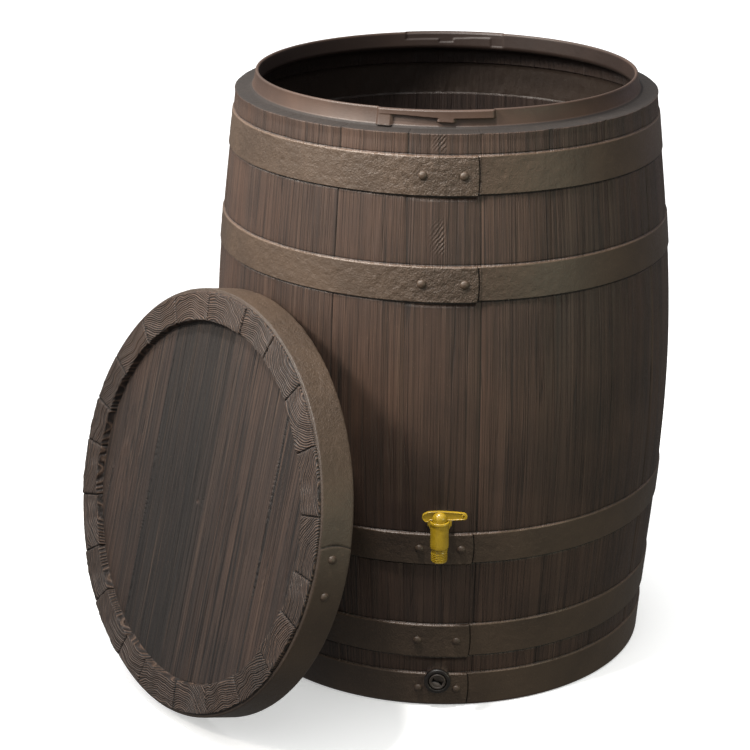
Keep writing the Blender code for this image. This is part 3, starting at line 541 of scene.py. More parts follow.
def make_barrel(material):
    rows = barrel_rows()
    angle, radius, height, kind = over_grid(rows, barrel_columns())
    inside, neck, collar, shoulder, outside = (kind == k for k in range(5))
    stave, across, to_seam = stave_fields(angle, height, np.maximum(radius, 0.2))
    grain = board_grain_by_stave(stave, across, height)
    hoop = only(outside | inside, hoop_mask(height))
    lap, lap_notch_and_shade = lap_fields(angle, height)
    wood = (1 - hoop) * outside
    gap, bevel = hoop_lines(height)

    # Staves: seams, a slight crown, their own levels and worn grain.
    same_along_seam = np.floor(angle / STAVE_ANGLE) * 7.3
    seam = bell(to_seam, SEAM_WIDTH) * (0.55 + 0.35 * noise_2d(same_along_seam, height * 3.5, 5))
    crown = 0.0010 * (1 - (across / (STAVE_ANGLE * 0.19)) ** 2)
    level = 0.0005 * per_stave(stave, 6) + 0.0045 * per_stave(stave, 8) * across
    arc = angle * ARC_RADIUS
    relief = grain_relief(grain, arc, height, 900)
    shaped = crown + level - SEAM_DEPTH * seam - 0.0005 * bell(to_seam, 0.006) + STAVE_GRAIN * relief
    shaped -= CREVICE[0] * gap

    # Hoops: straps with a beaten surface, rougher beside their laps.
    beaten = hammered(arc, height, 40)
    from_lap = np.abs(wrapped(angle - LAP_ANGLE + math.radians(6)))
    rough = 0.50 + 0.72 * bell(from_lap, math.radians(24)) + 0.25 * noise_2d(angle * 2.2, height * 5, 91)
    right_of_lap = (angle > LAP_ANGLE) & (angle < math.pi)
    rough *= np.where(right_of_lap, 0.55, 1.0) * (0.55 + 0.45 * step(height, 0.40, 0.65))
    strap = HOOP_PROUD + STRAP_DENTS * rough * beaten + LAP_RAISE * lap - LAP_NOTCH * lap_notch_and_shade
    out = only(outside, wood * shaped + hoop * strap)
    out += only(inside & (height > 0.02), wood_inside(to_seam, hoop, relief, beaten))

    # The tap's and the drain's flat pads.
    for pad_height, pad_radius, distance in PADS:
        spot = np.hypot(radius * np.sin(angle), height - pad_height) < pad_radius
        front = outside & spot & (np.cos(angle) > 0)
        out = np.where(front, distance / np.maximum(np.cos(angle), 0.1) - radius, out)

    # Collar: rails outside, their hollows inside, and a soft uneven moulded surface.
    rails = bayonet(angle, height)
    out += only(collar | shoulder, RAIL_PROUD * rails * (height > SHOULDER_HEIGHT + 0.001))
    out += only(neck & (height > 1.004), 0.0018 * rails)

    pebbles = fractal_2d(arc / 0.006, radius / 0.006, 55, 2)
    drop = only(shoulder & (radius > 0.337), 0.00025 * pebbles - 0.0016 * seam)
    for bottom, top in HOOPS[:4]:
        t = np.clip((top - height) / (top - bottom), 0.0, 1.15)
        near = outside & (height < top + 0.003) & (height > bottom - 0.005)
        drop -= only(near, 0.0018 * lap * t ** 2)

    radius = radius + out
    points = np.stack([radius * np.sin(angle), -radius * np.cos(angle), height + drop], -1)
    # Relief that colours the staves: their grain, with painted shade in the seams and in the gaps under the
    # hoops.
    grain_and_groove_shade = wood * (relief - 2.2 * seam - 3.0 * gap)
    stave_tone = wood * (0.5 + 0.5 * per_stave(stave, 14))
    tone = only(outside, stave_tone) + only(shoulder, LEDGE_TONE) + only(collar, COLLAR_TONE)
    ledge = shoulder & (radius > 0.337)
    attributes = {
        "grain": grain,
        # on the hoops: painted shade at the lap steps and in the hammered dents, and a painted highlight on
        # the hammered bumps
        "relief": only(outside, grain_and_groove_shade + hoop * (0.6 * beaten * rough - 3.0 * lap_notch_and_shade)),
        # painted highlight along the hoops' top bevels
        "edge": only(outside, bevel * hoop),
        "tone": tone,
        "knot": feather_marks(angle, height) * wood,
        "metal": hoop,
        "wood": only(outside | inside, 1 - hoop) + only(ledge, 0.35),
        "rough": rough * hoop,
        # painted shade over the inside wall and the neck
        "inside_shade": only(inside | neck, 1.0),
    }
    level_face = shoulder | (kind == 5)
    rise = height + only(level_face, BELLY_RADIUS - radius)
    own = np.stack([GRAIN_RADIUS * np.sin(angle), -GRAIN_RADIUS * np.cos(angle), rise], -1)
    uv = (arc, height + 0.4 * shoulder * radius)
    mesh = grid_mesh("barrel_shell", points, attributes, uv, own=own)
    barrel = new_object("barrel_shell", mesh, material)
    rivets = []
    for number, (bottom, top) in enumerate(HOOPS):
        middle = (bottom + top) / 2
        slope = math.atan2(float(stave_radius(top) - stave_radius(bottom)), top - bottom)
        for side, turn in enumerate(RIVET_ANGLES):
            turn += math.radians(0.25) * (number % 3 - 1)
            proud = float(stave_radius(middle)) + HOOP_PROUD + 0.7 * LAP_RAISE
            spot = Vector((proud * math.sin(turn), -proud * math.cos(turn), middle - 0.001 * side))
            facing = Matrix.Rotation(turn, 4, "Z") @ Matrix.Rotation(math.pi / 2 + slope, 4, "X")
            rivets.append(add_rivet(Matrix.Translation(spot) @ facing, material))
    return join_meshes(barrel, rivets)


def feather_marks(angle, height):
    """Where short slanting ripples cross the grain, beside an upright line on some staves, from 0 to 1."""
    total = np.zeros_like(height)
    for turn, middle, reach in FEATHERS:
        side = wrapped(np.radians(turn) - angle) * GRAIN_RADIUS
        total += step(side, -0.001, 0.003) * bell(side, 0.019) * np.exp(-((height - middle) / reach) ** 4)
    return np.minimum(total, 1.0)


def board_grain_by_stave(stave, across, height):
    grain = np.zeros_like(across)
    for number in range(STAVES):
        chosen = stave == number
        grain[chosen] = board_grain(across[chosen], height[chosen], number, 0.06) + 0.37 * number
    return grain


def wood_inside(to_seam, hoop, relief, beaten):
    """The inner skin follows the outer one: hoops are hollows, and seams and grain show faintly."""
    seam = bell(to_seam, 0.0024)
    return hoop * (HOOP_PROUD + 0.0010 * beaten) + (1 - hoop) * (0.00040 * relief - INNER_SEAM_DEPTH * seam)


# === Lid ===
def lid_pose():
    """Stands the lid on the ground at its lean, from lying face up round the origin."""
    level = math.pi / 2 - LID_TILT
    height = LID_BACK_RADIUS * math.cos(LID_TILT) + 0.0004
    distance, direction = LID_PLACE
    place = Matrix.Translation((distance * math.cos(direction), distance * math.sin(direction), height))
    return place @ Matrix.Rotation(LID_FACING, 4, "Z") @ Matrix.Rotation(level, 4, "Y")


def lid_hoop_radius(height):
    return LID_HOOP_RADIUS + LID_HOOP_FLARE * (1 - height / LID_HOOP_TOP)


def lid_columns():
    joints = np.radians(LID_JOINTS)
    near = np.radians([-0.6, -0.35, -0.2, -0.08, 0.0, 0.08, 0.2, 0.35, 0.6])
    at_joints = (joints[:, None] + near[None, :]).ravel()
    at_lap = LID_LAP + np.radians(np.linspace(-0.6, 0.9, 9))
    angles = np.concatenate([np.linspace(0, TAU, 720, endpoint=False), at_joints, at_lap]) % TAU
    angles = np.unique(np.round(angles, 5))
    return angles[np.concatenate([[True], np.diff(angles) > 0.0007])]


def lid_rows():
    """Rows of (radius, height, kind), from the middle of the face over the rim to the middle of the back.
    Kinds: 0 planks, 1 recess wall, 2 block ends, 3 the blocks' outer side, 4 hoop, 5 back."""
    floor = LID_HEIGHT - LID_RECESS_DEPTH
    under = floor - LID_WALL
    wall = [(0.3038 + 0.0014 * t, floor + 0.001 + (LID_RECESS_DEPTH - 0.002) * t)
            for t in (0.15, 0.3, 0.5, 0.7, 0.85)]
    hoop_heights = np.arange(LID_HOOP_TOP - 0.0040, 0.0030, -0.0025)
    parts = (
        [(r, floor) for r in np.concatenate([[0.006], np.arange(0.014, 0.2995, 0.0034)])]
        + [(0.3012, floor), (0.3026, floor)],
        [(0.3034, floor + 0.0003), (0.3038, floor + 0.0010), *wall],
        [(0.3053, LID_HEIGHT - 0.0008), (0.3060, LID_HEIGHT - 0.0002)]
        + [(r, LID_HEIGHT) for r in np.arange(0.3072, 0.3506, 0.0018)]
        + [(0.3512, LID_HEIGHT - 0.0002)],
        [(0.3519, LID_HEIGHT - 0.0009), (0.3521, LID_HEIGHT - 0.0020), (0.3522, LID_HEIGHT - 0.0034),
         (0.3523, LID_HOOP_TOP + 0.0007)],
        [(0.3528, LID_HOOP_TOP + 0.0002), (0.3548, LID_HOOP_TOP), (0.3560, LID_HOOP_TOP - 0.0002),
         (0.3568, LID_HOOP_TOP - 0.0008), (LID_HOOP_RADIUS, LID_HOOP_TOP - 0.0018)]
        + [(lid_hoop_radius(z), z) for z in hoop_heights]
        + [(0.3604, 0.0016), (0.3601, 0.0007), (0.3594, 0.0001)],
        [(0.3585, 0.0), (0.3572, 0.0), (0.3565, 0.0006), (0.3560, 0.0100), (0.3545, 0.0350), (0.3532, 0.0550),
         (0.3522, 0.0562), (0.3485, 0.0562), (0.3476, 0.0555), (LID_SKIRT_RADIUS, 0.0300),
         (LID_SKIRT_RADIUS, 0.0032), (0.3468, 0.0026), (0.3443, 0.0026), (0.3436, 0.0032), (0.3435, 0.0300),
         (0.3435, 0.0590), (0.3425, 0.0600), (0.3105, 0.0600), (0.3095, 0.0590), (0.3086, 0.0480),
         (0.3076, under), (0.25, under), (0.15, under), (0.05, under), (0.02, under)])
    return numbered(parts)


def plank_fields(x, y):
    """Planks run along the lid's own X: number, distance across from the plank's middle, and from a seam."""
    wander = 0.0012 * noise_1d(x / 0.12, 61)
    seams = np.array(PLANK_SEAMS)
    across_all = y + wander
    plank = np.searchsorted(seams, across_all.ravel()).reshape(y.shape)
    edges = np.concatenate([[-0.335], seams, [0.335]])
    middle = (edges[plank] + edges[plank + 1]) / 2
    to_seam = np.min(np.abs(across_all[..., None] - seams), -1)
    return plank, across_all - middle, to_seam


def make_lid(material):
    angle, radius, height, kind = over_grid(lid_rows(), lid_columns())
    planks, wall, ends, sides, hoop, back = (kind == k for k in range(6))
    x, y = radius * np.cos(angle), radius * np.sin(angle)

    # Planks of the sunk panel.
    plank, across, to_seam = plank_fields(x, y)
    grain = np.zeros_like(x)
    for number in range(len(PLANK_SEAMS) + 1):
        chosen = plank == number
        along = x[chosen] + 1.7 * number
        grain[chosen] = board_grain(across[chosen], along, 60 + number, 0.085) + 0.41 * number
    plank_relief = grain_relief(grain, y, x + 3.0, 950)
    plank_seam = bell(to_seam, 0.0011)
    plank_level = np.array([0.0002, -0.0004, 0.0004, -0.0002])[plank]
    rise = only(planks, PLANK_GRAIN * plank_relief - PLANK_SEAM_DEPTH * plank_seam + plank_level)

    # Blocks: the sawn ends of the staves, each with its own growth rings and level.
    joints = np.sort(np.radians(LID_JOINTS))
    block = np.searchsorted(joints, angle) % LID_BLOCKS
    spread = np.abs(wrapped(angle[..., None] - joints)).min(-1) * radius
    rng = np.random.default_rng(31)
    tangent = rng.uniform(-0.030, 0.030, LID_BLOCKS)
    reach = np.where(rng.uniform(size=LID_BLOCKS) < 0.5, -1, 1) * rng.uniform(0.035, 0.110, LID_BLOCKS)
    middle = joints[block - 1] + ((joints[block] - joints[block - 1]) % TAU) / 2
    local = wrapped(angle - middle) * radius
    out_from = radius - 0.329
    rings = np.hypot(local - tangent[block], out_from - reach[block])
    rings = rings * (1 + 0.04 * noise_2d(local / 0.02, out_from / 0.02, 71))
    ring_relief = noise_1d(rings / 0.0027, 72) + 0.4 * noise_1d(rings / 0.0062, 75)
    ring_relief += 0.3 * noise_2d(local / 0.005, out_from / 0.005, 73)
    joint = bell(spread, 0.0011)
    block_level = 0.0012 * rng.uniform(-1, 1, LID_BLOCKS)[block]
    block_level = block_level + 0.016 * rng.uniform(-1, 1, LID_BLOCKS)[block] * local
    blocks = PLANK_GRAIN * ring_relief - BLOCK_JOINT_DEPTH * joint
    blocks += 0.8 * block_level - 0.0008 * bell(spread, 0.003)
    rise += only(ends | wall, blocks * np.where(wall, 0.3, 1.0))
    shift = rng.uniform(-1, 1, LID_BLOCKS)[block]
    saw = noise_2d(angle * 110, height / 0.010, 74)
    comb = noise_2d(angle * 0.30 / 0.0042, height / 0.03, 76)
    inner = wall | (ends & (radius < 0.3075))
    push = only(inner, 0.0019 * shift + 0.0012 * joint + 0.0005 * comb)
    push += only(sides | (ends & (radius > 0.3500)), 0.0013 * shift - 0.0020 * joint + 0.0004 * saw)

    # Hoop with its lap.
    arc = angle * LID_ARC_RADIUS
    beaten = hammered(arc, height, 47)
    t = (height - 0.5 * LID_HOOP_TOP) / (0.5 * LID_HOOP_TOP)
    turn = wrapped(LID_LAP + math.radians(0.8) * (1 - t * t) - angle)
    lap = window(turn, (-0.0008, 0.0025), (math.radians(6), math.radians(50)))
    lap_notch_and_shade = bell(turn + 0.002, 0.0026)
    rough = 0.25 + 0.75 * step(-np.cos(angle - math.radians(20)), -0.3, 0.7)
    on_side = step(LID_HOOP_TOP - height, 0.0004, 0.0026)
    push += only(hoop, on_side * (0.00055 * rough * beaten + 0.0012 * lap - 0.0008 * lap_notch_and_shade))
    lugs = np.cos(2 * angle) > math.cos(math.radians(14))
    lug_rows = back & (np.abs(radius - 0.3436) < 0.0008) & (height < 0.0100)
    push += only(lug_rows & lugs, -0.0062)

    plank_tone = PLANK_TONES[plank] + 0.5 * noise_2d(y / 0.035, x / 0.5, 83)
    sawn = ends | wall | sides
    attributes = {
        "grain": np.where(planks, grain, rings + 0.29 * block),
        # grain and hammering, with painted shade in the plank seams, the block joints and the hoop's lap step
        "relief": only(planks, plank_relief - 2.0 * plank_seam)
        + only(sawn, 0.45 * ring_relief - 2.4 * joint)
        + only(hoop, 0.5 * beaten * rough - 2.6 * lap_notch_and_shade * on_side),
        "metal": only(hoop, 1.0),
        "tone": np.where(planks, plank_tone, np.where(hoop, 0.0, 1.25 + 0.6 * shift))
        + only(hoop, 1.1 * bell(height - LID_HOOP_TOP, 0.0016)),
        "wood": only(planks, 1.35),
        "endgrain": only(sawn, 1.25),
        "rough": only(hoop, rough),
        # painted shade over the lid's back
        "inside_shade": only(back, 1.0),
    }
    uv = (np.where(planks, y, arc), np.where(planks, x, height + radius))
    radius = radius + push
    points = np.stack([radius * np.cos(angle), radius * np.sin(angle), height + rise], -1)
    lid = new_object("lid_shell", grid_mesh("lid_shell", points, attributes, uv, wrap=False), material)
    rivets = []
    for turn in LID_RIVETS:
        spot = Vector(polar(lid_hoop_radius(LID_RIVET_HEIGHT) + 0.0009, turn, LID_RIVET_HEIGHT))
        facing = Matrix.Rotation(turn - math.pi / 2, 4, "Z") @ Matrix.Rotation(-math.pi / 2, 4, "X")
        rivets.append(add_rivet(Matrix.Translation(spot) @ facing, material))
    lid = join_meshes(lid, rivets)
    lid.data.transform(lid_pose())
    return lid


# === Materials ===
class Shader:
    """A Principled material with short calls for the nodes used here."""

    def __init__(self, name):
        self.material = bpy.data.materials.new(name)
        self.material.use_nodes = True
        self.tree = self.material.node_tree
        self.tree.nodes.clear()
        output = self.new("OutputMaterial")
        self.surface = self.new("BsdfPrincipled")
        self.tree.links.new(self.surface.outputs[0], output.inputs[0])
        self.place = self.new("TexCoord").outputs["Object"]

    def new(self, kind, **inputs):
        node = self.tree.nodes.new("ShaderNode" + kind)
        for name, value in inputs.items():
            self.put(node.inputs[name], value)
        return node

    def put(self, socket, value):
        if hasattr(value, "links"):
            self.tree.links.new(value, socket)
        else:
            socket.default_value = value

    def set(self, **values):
        for name, value in values.items():
            self.put(self.surface.inputs[SOCKETS.get(name, name.capitalize())], value)

    def attribute(self, name, output="Fac"):
        node = self.new("Attribute")
        node.attribute_name = name
        return node.outputs[output]

    def stretched(self, x, y, z):
        return self.new("Mapping", Vector=self.place, Scale=(x, y, z)).outputs[0]

    def line(self, value, scale):
        """A place along a line, so that a noise can vary with one value only."""
        return self.new("CombineXYZ", X=self.times(value, scale)).outputs[0]

    def noise(self, scale, detail=3.0, roughness=0.55, at=None, distortion=0.0):
        return self.new("TexNoise", Vector=at or self.place, Scale=scale, Detail=detail, Roughness=roughness,
                        Distortion=distortion).outputs["Fac"]

    def cells(self, scale):
        return self.new("TexVoronoi", Vector=self.place, Scale=scale).outputs["Distance"]

    def sum(self, operation, first, second=0.0):
        node = self.new("Math")
        node.operation = operation
        self.put(node.inputs[0], first)
        self.put(node.inputs[1], second)
        return node.outputs[0]

    def times(self, first, second):
        return self.sum("MULTIPLY", first, second)

    def plus(self, first, second):
        return self.sum("ADD", first, second)

    def minus(self, first, second):
        return self.sum("SUBTRACT", first, second)

    def span(self, value, low, high, to_low=0.0, to_high=1.0):
        node = self.new("MapRange")
        node.interpolation_type = "SMOOTHSTEP"
        for socket, number in zip(node.inputs[:5], (value, low, high, to_low, to_high)):
            self.put(socket, number)
        return node.outputs[0]

    def mix(self, factor, first, second):
        node = self.new("Mix")
        node.data_type = "RGBA"
        self.put(node.inputs[0], factor)
        self.put(node.inputs[6], first)
        self.put(node.inputs[7], second)
        return node.outputs[2]

    def bump(self, height, distance, strength=1.0):
        return self.new("Bump", Strength=strength, Distance=distance, Height=height).outputs[0]


SOCKETS = {"colour": "Base Color", "ior": "IOR", "emission_colour": "Emission Color",
           "emission_strength": "Emission Strength"}


def srgb(red, green, blue):
    """A linear colour from the 0 to 255 values of a paint chip."""
    channels = [value / 255 for value in (red, green, blue)]
    return (*[c / 12.92 if c < 0.04045 else ((c + 0.055) / 1.055) ** 2.4 for c in channels], 1.0)


def barrel_brown(name, along, vivid, seams=()):
    """Moulded polyethylene in brown. along is 0 for boards that run along X and 2 for boards along Z;
    vivid is how strongly the grain is coloured."""
    s = Shader(name)
    s.place = s.attribute("own", "Vector")
    x, y, z = s.new("SeparateXYZ", Vector=s.place).outputs

    def fibred(pitch, length, **options):
        """Noise drawn out along the boards, pitch across them and length along them in metres."""
        scales = [1 / length if axis == along else 1 / pitch for axis in range(3)]
        return s.noise(1.0, at=s.stretched(*scales), **options)

    def amount(value, low, high, weight, mask):
        return s.times(s.times(s.span(value, low, high), weight), mask)

    relief, metal, wood, inside_shade, tone = map(s.attribute, ("relief", "metal", "wood", "inside_shade", "tone"))
    grain, endgrain, edge, beaten, knot = map(s.attribute, ("grain", "endgrain", "edge", "rough", "knot"))
    grained = s.sum("MAXIMUM", wood, endgrain)
    lines = fibred(0.0024, 0.34, detail=4.0, roughness=0.6)
    threads = fibred(0.0012, 0.10, detail=2.0)
    cracks = s.sum("ABSOLUTE", s.minus(fibred(0.0085, 0.75, detail=1.0), 0.5))
    bands = s.span(fibred(0.030, 0.50, detail=2.0), 0.36, 0.62, 0.35, 1.3)
    banded = s.times(bands, grained)
    streaks = fibred(0.012, 0.40, detail=3.0, roughness=0.6)
    rings = s.noise(1.0, 3.0, 0.6, s.line(grain, 430.0))
    sawn = s.sum("SINE", s.plus(s.times(grain, TAU / RING_PITCH), s.times(s.noise(26.0, 2.0), 5.0)))
    slant = s.times(s.minus(z, s.times(x, 1.3)), TAU / FEATHER_PITCH)
    feather = s.times(s.sum("SINE", s.plus(slant, s.times(s.noise(46.0, 3.0), 10.0))), knot)
    cloud = s.noise(7.0, 4.0, 0.6)
    grit = s.noise(520.0, 3.0, 0.6)
    pebbles = s.noise(235.0, 4.0, 0.62, distortion=0.7)
    chips = s.cells(330.0)

    boards = s.mix(s.span(cloud, 0.3, 0.7), srgb(56, 40, 31), srgb(70, 51, 40))
    strap = s.mix(s.span(cloud, 0.3, 0.7), srgb(56, 44, 34), srgb(68, 54, 42))
    light, dark = srgb(116, 94, 78), srgb(20, 15, 12)
    seam_lines = [(s.sum("ABSOLUTE", s.minus(y, seam)), 0.0030, 0.0012, 0.72, wood, dark) for seam in seams]
    layers = (
        (feather, 0.2, 1.0, 0.24, 1.0, light),
        (feather, -0.2, -1.0, 0.28, 1.0, dark),
        (streaks, 0.50, 0.66, 0.34 * vivid, grained, dark),
        (streaks, 0.46, 0.30, 0.08, grained, light),
        (lines, 0.50, 0.60, 0.70 * vivid, banded, dark),
        (lines, 0.45, 0.34, 0.16 * vivid, banded, light),
        (rings, 0.49, 0.58, 0.40, endgrain, dark),
        (sawn, 0.1, -0.8, 0.62, endgrain, dark),
        (sawn, 0.55, 1.0, 0.30, endgrain, light),
        (cracks, 0.018, 0.005, 0.30 + 0.45 * vivid, s.times(wood, bands), dark),
        (rings, 0.47, 0.60, 0.24 * vivid, wood, dark),
        # Lighter on raised grain, as worn, and a painted highlight on the hoops' hammered bumps.
        (relief, 0.25, 1.5, 0.26, 1.0, light),
        *seam_lines,
        # Painted shade in the hammered dents and a painted highlight on their bumps, following the bump's
        # pebbles.
        (pebbles, 0.46, 0.36, 0.20, beaten, dark),
        (pebbles, 0.56, 0.72, 0.16, metal, light),
        # Painted shade where the relief is low: in the seams, joints, gaps under the hoops, lap steps and
        # hammered dents, besides the grain's own dark hollows.
        (relief, -0.25, -1.8, 0.86, 1.0, dark),
        (grit, 0.66, 0.76, 0.45, grained, srgb(140, 116, 96)),
    )
    colour = s.mix(s.times(tone, 0.32), s.mix(metal, boards, strap), dark)
    for *where, tint in layers:
        colour = s.mix(amount(*where), colour, tint)
    # Painted highlight along the hoops' top bevels.
    colour = s.mix(s.times(edge, 0.32), colour, srgb(124, 102, 85))
    # Painted shade: a near-black mix over the barrel's inside and neck, and over the lid's back.
    colour = s.mix(s.times(inside_shade, 0.74), colour, srgb(27, 22, 21))

    rough = s.plus(s.span(pebbles, 0.3, 0.7, 0.44, 0.56), s.times(grained, 0.06))
    rough = s.plus(rough, s.times(s.minus(grit, 0.5), 0.18))
    rough = s.minus(rough, s.times(edge, 0.16))
    rough = s.plus(rough, s.span(tone, 1.4, 2.8, 0.0, 0.26))
    height = s.times(s.plus(lines, s.times(threads, 0.35)), s.times(banded, 0.0017))
    dented = s.plus(pebbles, s.times(chips, 0.35))
    reliefs = (
        (rings, s.times(endgrain, 0.0016)),
        (sawn, s.times(endgrain, 0.00045)),
        (s.span(cracks, 0.024, 0.004), s.times(wood, -0.0005 - 0.0006 * vivid)),
        (rings, s.times(wood, 0.0006)),
        (dented, s.times(beaten, 0.0013)),
        (feather, 0.0005),
        (grit, 0.00016),
    )
    for shape, depth in reliefs:
        height = s.plus(height, s.times(shape, depth))
    s.set(colour=colour, roughness=rough, normal=s.bump(height, 1.0), ior=1.46)
    return s.material


def tap_yellow():
    """Glossy golden plastic with faint flow marks, fine scratches and darker specks."""
    s = Shader("tap_yellow")
    flow = s.noise(60.0, 3.0, 0.5, distortion=0.5)
    scratches = s.noise(1.0, 3.0, 0.6, s.stretched(900.0, 900.0, 60.0))
    specks = s.noise(500.0, 2.0, 0.5)
    colour = s.mix(s.span(flow, 0.35, 0.65), srgb(150, 121, 26), srgb(164, 134, 32))
    colour = s.mix(s.times(s.span(specks, 0.62, 0.75), 0.22), colour, srgb(104, 78, 10))
    rough = s.plus(s.span(flow, 0.3, 0.7, 0.20, 0.27), s.times(s.span(scratches, 0.5, 0.8), 0.12))
    normal = s.bump(s.plus(specks, s.times(scratches, 0.3)), 0.0002, 0.5)
    s.set(colour=colour, roughness=rough, normal=normal, ior=1.5)
    return s.material


def plain_plastic(name, dark, light, roughness, scale=260.0, relief=0.0003):
    """A small moulded part: slightly cloudy colour, a fine eroded texture and dust."""
    s = Shader(name)
    cloud = s.noise(scale / 6, 4.0, 0.6)
    texture = s.noise(scale, 4.0, 0.65)
    pits = s.cells(scale * 2.2)
    colour = s.mix(s.span(cloud, 0.3, 0.7), dark, light)
    colour = s.mix(s.times(s.span(texture, 0.58, 0.8), 0.3), colour, light)
    rough = s.span(texture, 0.25, 0.75, roughness - 0.07, roughness + 0.09)
    normal = s.bump(s.plus(texture, s.times(pits, 0.4)), relief, 0.6)
    s.set(colour=colour, roughness=rough, normal=normal, ior=1.5)
    return s.material


# === Tap ===
def plate_outline(points):
    """A closed outline with its corners rounded: each point is (x, z, radius)."""
    result = []
    for i, (x, z, radius) in enumerate(points):
        after = points[(i + 1) % len(points)]
        result += corner_curve(points[i - 1][:2], (x, z), after[:2], radius, 0.49, 6)
    return result


def inset(points, amount):
    """An outline's points moved inwards by amount; outlines here run anticlockwise."""
    result = []
    for i, (x, z, radius) in enumerate(points):
        before = Vector((x - points[i - 1][0], z - points[i - 1][1])).normalized()
        following = points[(i + 1) % len(points)]
        after = Vector((following[0] - x, following[1] - z)).normalized()
        first, second = Vector((-before.y, before.x)), Vector((-after.y, after.x))
        move = (first + second) * amount / (1.0 + first.dot(second))
        result.append((x + move.x, z + move.y, max(radius - 0.6 * amount, 0.0004)))
    return result


def layered_plate(name, layers, material):
    """A plate built from stacked outlines, each (outline, y). The first and last are capped."""
    shape = bmesh.new()
    rings = [[shape.verts.new((p.x, y, p.y)) for p in outline] for outline, y in layers]
    shape.faces.new(rings[0])
    shape.faces.new(rings[-1])
    skin(shape, rings, False)
    bmesh.ops.triangulate(shape, faces=[f for f in shape.faces if len(f.verts) > 4])
    return new_object(name, mesh_from(shape, name), material)


def turned(name, profile, material, place, along=None, steps=72):
    """A turned solid standing at place, with its axis along Z, or along -Y where along is "front"."""
    obj = new_object(name, mesh_from(turned_mesh(profile, steps), name), material)
    turn = Matrix.Rotation(math.pi / 2, 4, "X") if along == "front" else Matrix.Identity(4)
    obj.data.transform(Matrix.Translation(place) @ turn)
    return obj


def rod(radius, top, bottom):
    """The section of a plain round rod."""
    return [(0.0, top), (radius, top), (radius, bottom), (0.0, bottom)]


def outside_thread(name, major, depth, pitch, turns, top, bore, material):
    """A hollow threaded spout, with one helical groove cut into its outside."""
    steps = 60
    levels = 16 * turns
    length = pitch * turns
    shape = bmesh.new()
    rings = []
    for level in range(levels + 1):
        fade = min(1.0, level / 10, (levels - level) / 14)
        ring = []
        for i in range(steps):
            ridge = 0.5 + 0.5 * math.cos(TAU * ((level / 16 + i / steps) % 1.0))
            radius = major - depth + depth * (1 - fade + fade * min(1.0, 1.7 * ridge))
            radius -= 0.3 * depth * (1 - fade)
            ring.append(shape.verts.new(polar(radius, TAU * i / steps, top - length * level / levels)))
        rings.append(ring)
    lip = [(major - depth - 0.0002, -length - 0.0003), (major - depth - 0.0008, -length - 0.0010),
           (bore + 0.0008, -length - 0.0010), (bore + 0.0002, -length - 0.0004), (bore, -length + 0.001),
           (bore, 0.0)]
    rings += [circle(shape, radius, top + drop, steps) for radius, drop in lip]
    skin(shape, rings, True)
    return new_object(name, mesh_from(shape, name), material)


def soft_box(name, size, place, material):
    """A block with rounded edges."""
    shape = bmesh.new()
    bmesh.ops.create_cube(shape, size=1.0)
    bmesh.ops.scale(shape, vec=size, verts=shape.verts)
    bmesh.ops.bevel(shape, geom=shape.edges[:], offset=0.0005, segments=3, affect="EDGES", profile=0.6)
    obj = new_object(name, mesh_from(shape, name), material)
    obj.data.transform(Matrix.Translation(place))
    return obj


def screw_ridges(radius, start, end, pitch, depth):
    """Points of a threaded shank's outline between start and end, in the order a turned outline needs."""
    points = []
    for place in np.arange(start, end, -pitch):
        points += [(radius, place), (radius, place - 0.3 * pitch), (radius - depth, place - 0.5 * pitch),
                   (radius - depth, place - 0.8 * pitch)]
    return points


def make_tap_body(material):
    """The upright valve barrel with its threaded outlet, and the stem and shank that carry it on the wall."""
    shell = [(0.0100, 0.3765), (0.0126, 0.3765), (0.0126, 0.3785), (0.0151, 0.3785), (0.0151, 0.3440),
             (0.0151, 0.3345), (0.0143, 0.3322), (0.0126, 0.3312), (0.0128, 0.3250), (0.0100, 0.3250)]
    body = turned("tap_shell", rounded(shell, 0.0010), material, SPINDLE)
    port = rod(TAP_WATERWAY, 0.018, 0.0)
    cut_away(body, turned("cutter", port, material, (0.0, SPINDLE_Y + 0.018, TAP_HEIGHT), "front"))
    ridge = [(0.0120, 0.3312), (0.0136, 0.3312), (0.0139, 0.3302), (0.0136, 0.3292), (0.0120, 0.3292)]
    ridge = turned("tap_ridge", rounded(ridge, 0.0005), material, SPINDLE)
    thread = outside_thread("tap_thread", 0.01330, 0.00180, 0.0031, 6, 0.3284, 0.0100, material)
    thread.data.transform(Matrix.Translation(SPINDLE))
    stem = rounded([(TAP_WATERWAY, 0.0335), (0.0110, 0.0335), (0.0117, 0.0290), (0.0119, 0.0200),
                    (0.0130, 0.0080), (0.0156, 0.0056), (0.0185, 0.0054), (0.0187, 0.0046), (0.0187, 0.0006)],
                   0.0010)
    stem += [(0.0130, 0.0006), *screw_ridges(0.0130, -0.0030, -0.0390, 0.0018, 0.0008), (0.0122, -0.0408),
             (TAP_WATERWAY, -0.0408)]
    stem = turned("tap_stem", stem, material, (0.0, STEM_FRONT, TAP_HEIGHT), "front")
    ribs = [soft_box("tap_rib", (0.0016, 0.030, 0.0030), (side * 0.0118, -0.4180, TAP_HEIGHT), material)
            for side in (-1, 1)]
    return join_meshes(body, [ridge, thread, stem, *ribs])


def make_collar_clip(material):
    """The ring that holds the spindle: an undercut band with a small ear at either side."""
    band = rounded([(0.0160, 0.3762), (0.0166, 0.3765), (0.0165, 0.3790), (0.0160, 0.3806), (0.0146, 0.3812),
                    (0.0132, 0.3806), (0.0132, 0.3790), (0.0159, 0.3788)], 0.0006)
    ring = turned("tap_clip", band, material, SPINDLE)
    ears = []
    for side in (-1, 1):
        for size, out, height in (((0.0013, 0.0052, 0.0090), 0.0188, 0.3768),
                                  ((0.0034, 0.0052, 0.0014), 0.0176, 0.3805)):
            ears.append(soft_box("tap_ear", size, (side * out, SPINDLE_Y, height), material))
    return join_meshes(ring, ears)


